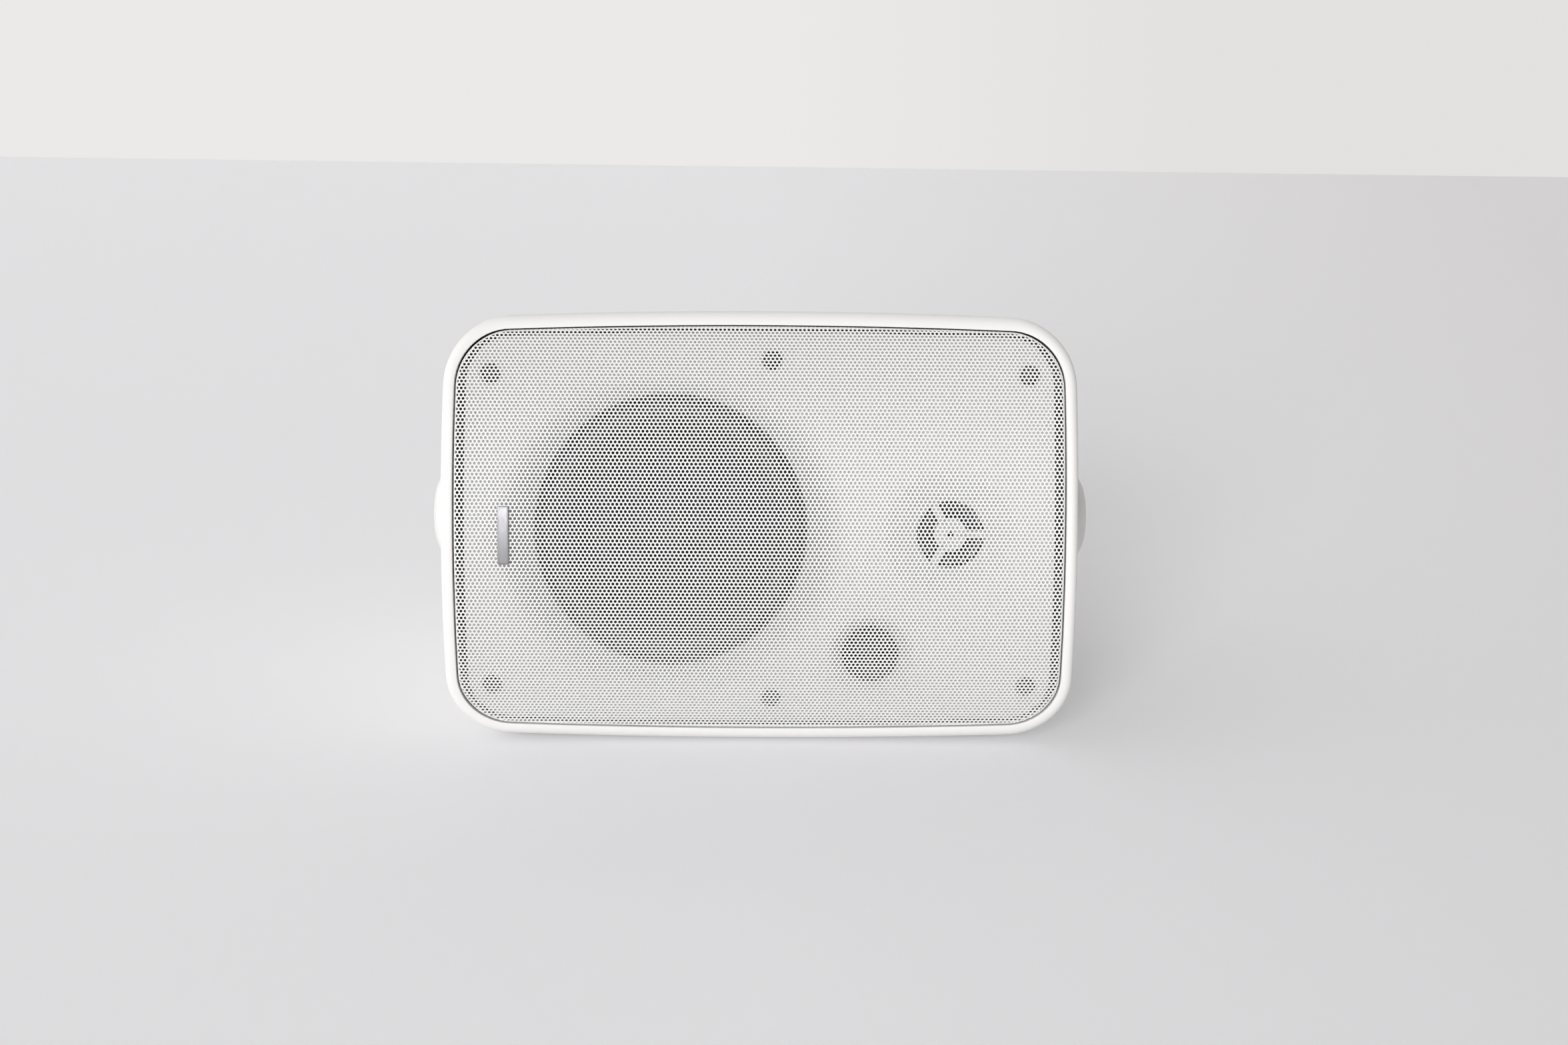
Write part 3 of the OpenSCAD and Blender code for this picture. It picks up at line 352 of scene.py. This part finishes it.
def cut_or_join(piece, others, operation):
    """Takes the others out of piece, or joins them to it, and removes them."""
    for other in others:
        step = piece.modifiers.new("step", "BOOLEAN")
        step.operation, step.solver, step.object = operation, "MANIFOLD", other
    bpy.context.view_layer.update()
    made = bpy.data.meshes.new_from_object(piece.evaluated_get(bpy.context.evaluated_depsgraph_get()))
    piece.modifiers.clear()
    piece.data = made
    for other in others:
        bpy.data.objects.remove(other)


PIVOT = (0, 98, 0)
BOSS_R, BOSS_FROM, BOSS_TO, BORE_R, BORE_FROM = 19, 138, 157, 6.5, 143.2
boss = [(0, BOSS_FROM), (BOSS_R, BOSS_FROM), (BOSS_R, BOSS_TO - 0.4), (BOSS_R - 0.6, BOSS_TO), (0, BOSS_TO)]
bore = [(0, BORE_FROM), (BORE_R, BORE_FROM), (BORE_R, BOSS_TO + 3), (0, BOSS_TO + 3)]
for profile, operation in ((boss, "UNION"), (bore, "DIFFERENCE")):
    cut_or_join(housing, [turned_form(profile, PIVOT, (side, 0, 0), "boss", housing_white.material)
                          for side in (-1, 1)], operation)
smooth(housing.data, 38)
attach(housing, "cabinet")
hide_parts("cabinet_shell")

# Grille
# A rolled steel sheet 0.6 mm thick, punched with round holes of 1.6 mm on a 2.25 mm triangular pitch,
# its edge folded back into the rim's groove, then powder-coated white. It is drawn in four bands, with
# six corners to a hole and about the area of the round one.
GRILLE_W, GRILLE_H, GRILLE_CORNER = 161.8, 109, 28.8
SHEET, FOLD_R, FOLD_DEPTH = 0.6, 1.5, 5.0
PITCH, ROW, HOLE_R = 2.25, 1.9486, 0.895
FIRST_U, FIRST_V, ROWS, COLUMNS, MORE_COLUMNS = -48.375, 1.24, 70, 84, 44
BANDS, BANDS_FROM, BAND_H = 4, -116, 58


def sheet_points(u, v):
    """Outer and inner points of the sheet for developed places u, v, and which lie past its cut edge."""
    beta = np.abs(v) / FACE_R
    z = FACE_R * np.sin(beta)
    x = np.abs(u)
    cx, cz = GRILLE_W - GRILLE_CORNER, GRILLE_H - BOW - GRILLE_CORNER
    qx = x - cx
    qz = z - cz - BOW * np.where(x < cx, 1 - (x / cx) ** 2, 0)
    corner = (qx > 0) & (qz > 0)
    length = np.hypot(qx, qz)
    nx = np.where(corner, qx / length, np.where(qx > qz, 1.0, 0.0))
    nz = np.where(corner, qz / length, np.where(qx > qz, 0.0, 1.0))
    away = np.where(corner, length, np.maximum(qx, qz)) - GRILLE_CORNER
    slope = np.tan(beta)
    for _ in range(3):
        lean_in = np.arctan(slope * nz)
        past = np.maximum(away + FOLD_R * (1 - np.sin(lean_in)), 0)
        base_x, base_z = x - past * nx, z - past * nz
        slope = base_z / np.sqrt(FACE_R ** 2 - base_z ** 2)
    arc = past / np.cos(lean_in)
    bend = FOLD_R * (math.pi / 2 - lean_in)
    last = bend + FOLD_DEPTH * np.sqrt(1 + slope ** 2) - FOLD_R * np.cos(lean_in)
    beyond = arc > last
    arc = np.minimum(arc, last)
    heading = lean_in + np.minimum(arc, bend) / FOLD_R
    out = FOLD_R * (np.sin(heading) - np.sin(lean_in))
    back = FOLD_R * (np.cos(lean_in) - np.cos(heading)) + np.maximum(arc - bend, 0)
    along = np.stack([nx * np.cos(heading), np.sin(heading), nz * np.cos(heading)], -1)
    edge = np.stack([-nz, slope * nx, nx], -1)
    flat = past <= 0
    along[flat] = np.stack([np.zeros_like(z), np.sin(beta), np.cos(beta)], -1)[flat]
    edge[flat] = (-1, 0, 0)
    normal = np.cross(along, edge)
    normal /= np.linalg.norm(normal, axis=-1, keepdims=True)
    depth = FACE_R - np.sqrt(FACE_R ** 2 - base_z ** 2) + back
    outer = np.stack([base_x + out * nx, depth, base_z + out * nz], -1)
    mirror = np.stack([np.sign(u), np.ones_like(u), np.sign(v)], -1)
    mirror[mirror == 0] = 1
    normal[normal[..., 1] > 0.2] *= -1
    return outer * mirror, (outer - SHEET * normal) * mirror, beyond


# The sheet is the web of triangles between the six-cornered holes. index holds each hole's corners, and
# h, r, ur and ul are a hole and its neighbours to the right, the upper right and the upper left.
j, i = np.meshgrid(np.arange(-ROWS, ROWS + 1), np.arange(-COLUMNS, COLUMNS + MORE_COLUMNS), indexing="ij")
hole_u = FIRST_U + PITCH * i + np.where(j % 2, PITCH / 2, 0)
hole_v = FIRST_V + ROW * j
angle = np.radians(30 + 60 * np.arange(6))
vert_u = hole_u[..., None] + HOLE_R * np.cos(angle)
vert_v = hole_v[..., None] + HOLE_R * np.sin(angle)
outer, inner, beyond = sheet_points(vert_u, vert_v)
index = np.arange(outer[..., 0].size).reshape(vert_u.shape)
odd = (j[:-1, 1:-1] % 2 == 1)[..., None]
h, r = index[:-1, 1:-1], index[:-1, 2:]
ur = np.where(odd, index[1:, 2:], index[1:, 1:-1])
ul = np.where(odd, index[1:, 1:-1], index[1:, :-2])
quads = [(h[..., 5], r[..., 3], r[..., 2], h[..., 0]), (h[..., 0], ur[..., 4], ur[..., 3], h[..., 1]),
         (h[..., 1], ul[..., 5], ul[..., 4], h[..., 2])]
triangles = [(h[..., 0], r[..., 2], ur[..., 4]), (h[..., 1], ur[..., 3], ul[..., 5])]
for a, b, c, d in quads:
    triangles += [(a, b, c), (a, c, d)]
band_of = ((hole_v[:-1, 1:-1] - BANDS_FROM) / BAND_H).astype(int).clip(0, BANDS - 1)
web = np.concatenate([np.stack([*corners, band_of], -1).reshape(-1, 4) for corners in triangles])
outer, inner, beyond = outer.reshape(-1, 3), inner.reshape(-1, 3), beyond.reshape(-1)
web = web[~beyond[web[:, :3]].all(1)]
_, first, same = np.unique(np.round(outer, 4), axis=0, return_index=True, return_inverse=True)
web[:, :3] = first[same.reshape(-1)][web[:, :3]]
a, b, c = web[:, 0], web[:, 1], web[:, 2]
area = np.linalg.norm(np.cross(outer[b] - outer[a], outer[c] - outer[a]), axis=1)
web = web[(a != b) & (b != c) & (c != a) & (area > 1e-5)]

powder = Finish("grille_powder_coat", (0.86, 0.857, 0.85), 0.5, Specular_IOR_Level=0.42)
powder.grained(powder.noise(1500), (0.868, 0.865, 0.858), (0.852, 0.848, 0.84), (0.44, 0.16),
               (0.00008, 0.3), broad=powder.noise(30))
for number in range(BANDS):
    used, face = np.unique(web[web[:, 3] == number][:, :3], return_inverse=True)
    face = face.reshape(-1, 3)
    n = len(used)
    edges = np.concatenate([face[:, [0, 1]], face[:, [1, 2]], face[:, [2, 0]]])
    open_edges = edges[~np.isin(edges[:, 0] * n + edges[:, 1], edges[:, 1] * n + edges[:, 0])]
    start, end = open_edges.T
    sides = np.concatenate([np.stack([end, start, start + n], -1), np.stack([end, start + n, end + n], -1)])
    band = shape(f"grille_band_{number + 1}", np.concatenate([outer[used], inner[used]]),
                 np.concatenate([face, face[:, ::-1] + n, sides]), powder.material, 65, outward=False)
    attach(band, "cabinet")
    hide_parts("grille")

# Badge
# A blank plate of brushed aluminium, 6 mm by 31 mm and 1 mm thick, with a fine groove inside its edge.
# It is rolled to the grille's curve and glued to it.
badge_metal = Finish("badge_metal", (0.30, 0.296, 0.31), 0.36, Metallic=0.7)
badge_metal.grained(badge_metal.noise(900, 3.0, stretch=(1.0, 1.0, 0.05)), (0.34, 0.336, 0.35),
                    (0.25, 0.246, 0.26), (0.26, 0.2), (0.00003, 0.5))
BADGE_X, BADGE_W, BADGE_H, BADGE_ROUND = -135.5, 6.0, 31.0, 0.7
BADGE_BACK, BADGE_FRONT, SPINE_TOP, SPINE = 0.06, 1.05, 13.5, 10


def plate_ring(inset, height):
    """The badge's outline at one height over the grille."""
    turn = np.radians(np.linspace(0, 90, 5))
    r = BADGE_ROUND
    cx, cz = BADGE_W / 2 - inset - r, BADGE_H / 2 - inset - r
    rise = np.linspace(-cz, cz, 12)[1:-1]
    left, right = np.c_[np.full(10, -cx - r), -rise], np.c_[np.full(10, cx + r), rise]
    arc = [np.c_[r * np.cos(turn + k * math.pi / 2), r * np.sin(turn + k * math.pi / 2)] for k in range(4)]
    ring = on_drum(np.concatenate([arc[0] + (cx, cz), arc[1] + (-cx, cz), left,
                                   arc[2] + (-cx, -cz), arc[3] + (cx, -cz), right]), FACE_R + height)
    ring[:, 0] += BADGE_X
    return ring


layers = [plate_ring(inset, height) for inset, height in
          ((0, BADGE_BACK), (0, 0.75), (0.1, 0.95), (0.3, BADGE_FRONT), (0.62, BADGE_FRONT), (0.68, 0.9),
           (0.86, 0.9), (0.92, BADGE_FRONT))]
points, faces = skin(layers)
spine = [(BADGE_X, FACE_R - math.sqrt((FACE_R + height) ** 2 - z * z), z)
         for height in (BADGE_BACK, BADGE_FRONT) for z in np.linspace(-SPINE_TOP, SPINE_TOP, SPINE)]
n, spine_at = len(layers[0]), len(points)
points = np.concatenate([points, spine])
# The back and the front are closed from the outline to the nearest points of the plate's middle line.
for ring_at, line_at in ((0, spine_at), (spine_at - n, spine_at + SPINE)):
    line = points[line_at:line_at + SPINE, 2]
    nearest = [line_at + int(np.argmin(abs(line - points[ring_at + k, 2]))) for k in range(n)]
    for k in range(n):
        a, b = nearest[k], nearest[(k + 1) % n]
        faces.append((ring_at + k, ring_at + (k + 1) % n, b))
        if a != b:
            faces.append((ring_at + k, b, a))
badge = shape("badge_blank", points, faces, badge_metal.material, 35)
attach(badge, "cabinet")
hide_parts("badge_plate")

# Front panel
# A curved white moulding behind the grille, with the woofer's flare, the tweeter's horn and its
# three-armed guard, and the port's mouth. It is screwed down over a black foam strip.
# Its colour is a paler grey than the housing's white. This is painted shade for the light that the grille
# keeps off it.
shaded_panel_white = Finish("panel_plastic", (0.72, 0.715, 0.705), 0.55)
shaded_panel_white.grained(shaded_panel_white.noise(1800), (0.73, 0.725, 0.715), (0.705, 0.70, 0.69), (0.45, 0.15),
                    (0.00006, 0.35), broad=shaded_panel_white.noise(40))


def worked_copy(node, finish, body):
    """A copy of a CAD piece, to be worked further, which stands for that piece."""
    work = bmesh.new()
    work.from_mesh(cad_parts[node].data)
    bmesh.ops.remove_doubles(work, verts=work.verts, dist=1e-6)
    mesh = bpy.data.meshes.new(node + "_worked")
    work.to_mesh(mesh)
    work.free()
    mesh.materials.clear()
    mesh.materials.append(finish.material)
    piece = bpy.data.objects.new(node + "_worked", mesh)
    bpy.context.scene.collection.objects.link(piece)
    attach(piece, body)
    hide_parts(node)
    return piece


# The flares are opened out, so that each sinks from the panel in one soft curve: the woofer's, the
# tweeter's and the port's x, z, inner and outer radius, depth of the seat and sharpness of the curve.
PANEL_R = 186.5
OPENINGS = ((-47.8, 0, 73.4, 93, 28, 1.8),
            (101.8, 0, 17.9, 36, 11.95, 1.3),
            (60, -67.3, 15.4, 23.4, 27.5, 1.6))


def soft_flare(x, z, inner, outer, seat, bend):
    """A cutter round an opening's axis: flush with the panel outside and at the seat's depth inside."""
    around = np.linspace(0, 2 * math.pi, 161)[:-1]
    rings = []
    for share in np.linspace(0, 1, 15):
        radius = inner + (outer - inner) * share
        height = z + radius * np.sin(around)
        front = FACE_R - np.sqrt(PANEL_R ** 2 - height ** 2) - 0.05 * share
        depth = front + (seat - front) * (1 - share) ** bend
        rings.append(np.c_[x + radius * np.cos(around), depth, height])
    rings.append(rings[-1] * (1, 0, 1) - (0, 8, 0))
    points, faces = skin(rings)
    n = len(around)
    for start in (0, (len(rings) - 1) * n):
        faces.append(tuple(range(start, start + n)))
    return shape("flare", points, faces, shaded_panel_white.material)


panel = worked_copy("front_baffle", shaded_panel_white, "cabinet")
cut_or_join(panel, [soft_flare(*opening) for opening in OPENINGS], "DIFFERENCE")
smooth(panel.data, 30)

# Foam strip
# Closed-cell black foam between the panel and the ledge, cut as one frame and glued down. It also
# fills the groove between the panel's edge and the pocket's wall.
foam_black = Finish("foam_black", (0.022, 0.022, 0.023), 0.95)
cells = foam_black.node("TexVoronoi", {}, {"Vector": foam_black.here, "Scale": 1400.0})
foam_black.grained(cells, (0.014, 0.014, 0.015), (0.04, 0.04, 0.042), relief=(0.0003, 0.8))
PANEL_W, PANEL_H, PANEL_CORNER, FOAM_IN = 156.6, 106, 23.6, 4.2
strip = [pocket(SEAT_R + rise, inset) for inset, rise in ((0.15, 0.05), (0.15, 2.6), (0.6, 3.0))]
strip += [on_drum(outline(PANEL_W, PANEL_H, PANEL_CORNER, inset=inset), SEAT_R + rise) for inset, rise in
          ((-0.5, 3.0), (-0.1, 2.6), (-0.1, 1.45), (FOAM_IN, 1.45), (FOAM_IN, 0.05))]
points, faces = skin(strip, closed=True)
seal = shape("foam_strip", points, faces, foam_black.material, 40)
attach(seal, "cabinet")
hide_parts("baffle_seal")

# Port
# A tube of black plastic, glued behind the panel's flared mouth. It is open to the inside at its own
# flared end.
def dress(finish, *names):
    """Gives CAD nodes a finish through their own material slots."""
    for name in names:
        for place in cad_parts[name].material_slots:
            place.material = finish.material


tube_black = Finish("tube_plastic", (0.025, 0.025, 0.026), 0.6)
tube_black.grained(tube_black.noise(800), (0.02, 0.02, 0.021), (0.032, 0.032, 0.033), (0.5, 0.2),
                   broad=tube_black.noise(90))
dress(tube_black, "port_tube")

# Panel screws
# Six cross-head steel screws in black oxide, each on a wide washer that fills its counterbore. They
# go through the panel and the foam into posts of the housing.
black_oxide = Finish("black_oxide", (0.03, 0.03, 0.032), 0.42, Metallic=0.6)
black_oxide.grained(black_oxide.noise(700, 3.0), (0.02, 0.02, 0.022), (0.055, 0.055, 0.058), (0.32, 0.3))
HEAD_R, HEAD_H, WASHER_R, WASHER_T, SHANK_R, SHANK_L, POINT_L = 4.6, 1.9, 5.3, 0.9, 1.5, 18, 1.2
CROSS_L, CROSS_W, CROSS_DEPTH = HEAD_R * 0.62, HEAD_R * 0.11, (HEAD_H + WASHER_T) * 0.55


def cross_screw(x, depth, z):
    """A round head with a cross recess, its washer and its shank, along the depth."""
    under, below = depth + HEAD_H, depth + HEAD_H + WASHER_T
    dome = [(HEAD_R * math.sin(a), depth + HEAD_H * (1 - math.cos(a)))
            for a in np.radians(np.linspace(15, 90, 6))]
    profile = [(0, depth + 0.02), *dome, (HEAD_R, under), (WASHER_R - 0.3, under), (WASHER_R, under + 0.2),
               (WASHER_R, below), (SHANK_R, below), (SHANK_R, below + SHANK_L),
               (0, below + SHANK_L + POINT_L)]
    form = turned_form(profile, (x, 0, z), (0, 1, 0), "screw", black_oxide.material, 48)
    slots = []
    for w, h in ((CROSS_L, CROSS_W), (CROSS_W, CROSS_L)):
        corners = [(x + sx * w, y, z + sz * h) for y in (depth - 1, depth + CROSS_DEPTH)
                   for sx, sz in ((-1, -1), (1, -1), (1, 1), (-1, 1))]
        box = [(0, 1, 2, 3), (4, 5, 6, 7), (0, 1, 5, 4), (1, 2, 6, 5), (2, 3, 7, 6), (3, 0, 4, 7)]
        slots.append(shape("slot", corners, box, black_oxide.material))
    cut_or_join(form, slots, "DIFFERENCE")
    smooth(form.data, 38)
    return form


def joined(pieces, name):
    """One object from several."""
    with bpy.context.temp_override(active_object=pieces[0], selected_editable_objects=pieces):
        bpy.ops.object.join()
    pieces[0].name = name
    return pieces[0]


SCREW_X, SCREW_Z, MID_SCREW_X, MID_SCREW_Z = 144, 84, 6.5, 91.5
spots = [(sx * SCREW_X, sz * SCREW_Z) for sx in (-1, 1) for sz in (-1, 1)]
spots += [(MID_SCREW_X, -MID_SCREW_Z), (MID_SCREW_X, MID_SCREW_Z)]
panel_screws = joined([cross_screw(x, FACE_R - math.sqrt(PANEL_R ** 2 - z * z) + 0.3, z) for x, z in spots],
                      "panel_screws")
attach(panel_screws, "cabinet")
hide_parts("baffle_screws")

# Woofer
# A 6.5-inch driver: pressed steel basket painted black, paper cone with a rubber edge and a paper cap,
# a resin-dipped cloth spider, a copper coil on an aluminium former, and a ferrite magnet between plates.
paper_black = Finish("cone_paper", (0.022, 0.022, 0.024), 0.75)
paper_black.grained(paper_black.noise(600, 4.0), (0.010, 0.010, 0.011), (0.022, 0.022, 0.024),
                    relief=(0.0002, 0.5))
dress(paper_black, "woofer_cone", "woofer_dust_cap")

rubber_black = Finish("edge_rubber", (0.02, 0.02, 0.02), 0.5)
rubber_black.grained(rubber_black.noise(300, 3.0), (0.015, 0.015, 0.015), (0.032, 0.032, 0.033),
                     (0.42, 0.2))
dress(rubber_black, "woofer_surround", "friction_washers")
dress(foam_black, "woofer_gasket")

basket_paint = Finish("basket_paint", (0.03, 0.03, 0.032), 0.5)
basket_paint.grained(basket_paint.noise(900), (0.024, 0.024, 0.026), (0.04, 0.04, 0.042), (0.4, 0.2),
                     (0.0001, 0.3))
dress(basket_paint, "woofer_basket", "tweeter_frame", "crossover_coil_bobbin")

spider_cloth = Finish("spider_cloth", (0.50, 0.33, 0.11), 0.85)
weft, warp = (spider_cloth.node("TexWave", {"bands_direction": axis},
                                {"Vector": spider_cloth.here, "Scale": 450.0}) for axis in "XZ")
spider_cloth.grained(weft * warp, (0.40, 0.25, 0.08), (0.60, 0.42, 0.16), relief=(0.0002, 0.6))
dress(spider_cloth, "woofer_spider")

zinc = Finish("zinc_plate", (0.62, 0.62, 0.64), 0.34, Metallic=1.0)
zinc.grained(zinc.noise(500, 3.0), (0.56, 0.56, 0.58), (0.70, 0.70, 0.71), (0.26, 0.2))
dress(zinc, "woofer_top_plate", "woofer_yoke", "tweeter_top_plate", "tweeter_yoke", "board_screws",
      "left_knob_stud", "right_knob_stud", "left_washer", "right_washer")
dress(black_oxide, "woofer_screws", "tweeter_screws", "cup_screws")

ferrite = Finish("ferrite", (0.06, 0.06, 0.065), 0.7)
ferrite.grained(ferrite.noise(1200, 3.0), (0.045, 0.045, 0.05), (0.085, 0.085, 0.09), relief=(0.0002, 0.5))
dress(ferrite, "woofer_magnet", "tweeter_magnet")

copper = Finish("copper_wire", (0.62, 0.28, 0.12), 0.3, Metallic=1.0)
turns = copper.node("TexWave", {"bands_direction": "Y"}, {"Vector": copper.here, "Scale": 700.0})
copper.grained(turns, (0.45, 0.18, 0.07), (0.70, 0.34, 0.15), relief=(0.0002, 0.8))
dress(copper, "voice_coil_winding", "tweeter_voice_coil", "crossover_coil")

foil = Finish("former_foil", (0.72, 0.72, 0.74), 0.3, Metallic=1.0)
foil.grained(foil.noise(400), (0.68, 0.68, 0.70), (0.76, 0.76, 0.78), (0.22, 0.16), broad=foil.noise(250))
dress(foil, "voice_coil_former")

# Tweeter
# A one-inch dome of coated silk behind the guard, on a moulded black frame that three screws hold to
# the panel from behind, with its own small magnet and coil.
silk = Finish("dome_silk", (0.03, 0.03, 0.038), 0.55, Coat_Weight=0.3)
thread = silk.node("TexWave", {"bands_direction": "DIAGONAL"}, {"Vector": silk.here, "Scale": 900.0})
silk.grained(thread, (0.02, 0.02, 0.028), (0.045, 0.045, 0.055), relief=(0.00006, 0.4))
dress(silk, "tweeter_dome")

# Crossover
# A glass-fibre board on four posts inside the rear wall, held by four screws. It carries a coil on a
# black bobbin, two film capacitors and a ceramic resistor.
board_green = Finish("board_green", (0.04, 0.20, 0.08), 0.4)
board_green.grained(board_green.noise(500), (0.03, 0.17, 0.06), (0.06, 0.24, 0.10))
dress(board_green, "crossover_board")
film = Finish("capacitor_film", (0.68, 0.48, 0.07), 0.3)
film.grained(film.noise(300), (0.62, 0.42, 0.06), (0.72, 0.52, 0.09), (0.24, 0.16), broad=film.noise(150))
dress(film, "crossover_capacitor")
ceramic = Finish("resistor_ceramic", (0.78, 0.78, 0.75), 0.8)
ceramic.grained(ceramic.noise(900, 3.0), (0.72, 0.72, 0.69), (0.82, 0.82, 0.80))
dress(ceramic, "crossover_resistor")

# Terminals
# A black moulded recess, held in the rear wall by four screws. A red and a black sprung lever turn on
# pins in it and press bare cable ends to nickel-plated contacts.
cup_black = Finish("cup_plastic", (0.025, 0.025, 0.026), 0.45)
cup_black.grained(cup_black.noise(1600, 3.0), (0.02, 0.02, 0.021), (0.036, 0.036, 0.037), (0.38, 0.2),
                  (0.00015, 0.5))
FLAT_WITHIN, SHARP_OVER = math.radians(0.4), math.radians(35)


def softened(node, width, finish, body, segments=2):
    """A worked copy of a CAD piece with its sharp edges rounded."""
    piece = worked_copy(node, finish, body)
    work = bmesh.new()
    work.from_mesh(piece.data)
    bmesh.ops.dissolve_limit(work, angle_limit=FLAT_WITHIN, verts=work.verts, edges=work.edges)
    sharp = [edge for edge in work.edges if edge.is_manifold and edge.calc_face_angle() > SHARP_OVER]
    bmesh.ops.bevel(work, geom=sharp, offset=width, offset_type="OFFSET", segments=segments, profile=0.5,
                    affect="EDGES", clamp_overlap=True)
    work.to_mesh(piece.data)
    work.free()
    smooth(piece.data, 32)


softened("terminal_cup", 0.0004, cup_black, "cabinet")
lever_red = Finish("lever_red", (0.55, 0.03, 0.028), 0.32)
lever_red.grained(lever_red.noise(500), (0.58, 0.035, 0.03), (0.50, 0.025, 0.024), (0.28, 0.14),
                  broad=lever_red.noise(120))
lever_black = Finish("lever_black", (0.02, 0.02, 0.021), 0.32)
lever_black.grained(lever_black.noise(500), (0.017, 0.017, 0.018), (0.03, 0.03, 0.031), (0.28, 0.14),
                    broad=lever_black.noise(120))
softened("red_lever", 0.0003, lever_red, "red_terminal")
softened("black_lever", 0.0003, lever_black, "black_terminal")
nickel = Finish("nickel", (0.70, 0.67, 0.60), 0.25, Metallic=1.0)
nickel.grained(nickel.noise(400), (0.65, 0.62, 0.55), (0.74, 0.71, 0.64), (0.2, 0.14),
               broad=nickel.noise(250))
dress(nickel, "terminal_contacts")

# Wall bracket
# A steel strap folded to a U and powder-coated, with round ends at the pivots and slots for the wall
# screws. The hand knobs clamp it against rubber washers, and their studs turn in brass inserts.
strap_coat = Finish("strap_powder_coat", (0.85, 0.845, 0.83), 0.5)
strap_coat.grained(strap_coat.noise(900), (0.857, 0.85, 0.836), (0.838, 0.83, 0.812), (0.42, 0.18),
                   (0.00012, 0.4), broad=strap_coat.noise(25))
softened("wall_bracket", 0.0006, strap_coat, "bracket", segments=3)

brass = Finish("turned_brass", (0.72, 0.52, 0.22), 0.3, Metallic=1.0)
brass.grained(brass.noise(600), (0.66, 0.46, 0.18), (0.78, 0.58, 0.27), (0.22, 0.18),
              broad=brass.noise(300))
dress(brass, "brass_inserts")

# Hand knobs
# Moulded in the housing's white, domed outside and hollow behind. Each is pressed on a steel stud with
# a washer, and screws into the housing's boss.
knob_white = Finish("knob_plastic", (0.85, 0.845, 0.825), 0.4)
knob_white.grained(knob_white.noise(2200, 3.0), (0.857, 0.85, 0.832), (0.843, 0.835, 0.815), (0.34, 0.16),
                   (0.00006, 0.35), broad=knob_white.noise(60))
KNOB_R, KNOB_IN, KNOB_EDGE, KNOB_DOME = 27, 163.6, 4.5, 14.4
HUB_R, STUD_HOLE_R, STUD_HOLE_L, HOLLOW_R, HOLLOW_L = 11, 4.02, 13, 22, 5
inside = [(0, STUD_HOLE_L), (STUD_HOLE_R, STUD_HOLE_L), (STUD_HOLE_R, 0), (HUB_R - 0.3, 0), (HUB_R, 0.3),
          (HUB_R, HOLLOW_L), (HOLLOW_R, HOLLOW_L), (HOLLOW_R, 0.4), (HOLLOW_R + 0.4, 0), (KNOB_R - 1, 0),
          (KNOB_R - 0.3, 0.3), (KNOB_R, 1)]
dome = [(KNOB_R * math.cos(a) ** 0.7, KNOB_EDGE + KNOB_DOME * math.sin(a))
        for a in np.radians(np.linspace(0, 88.5, 34))]
knob_profile = [(radius, KNOB_IN + far) for radius, far in inside + dome + [(0, KNOB_EDGE + KNOB_DOME)]]
for name, side, body in (("left_knob", -1, "left_hand_knob"), ("right_knob", 1, "right_hand_knob")):
    knob = turned_form(knob_profile, PIVOT, (side, 0, 0), name + "_domed", knob_white.material, 128)
    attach(knob, body)
    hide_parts(name)
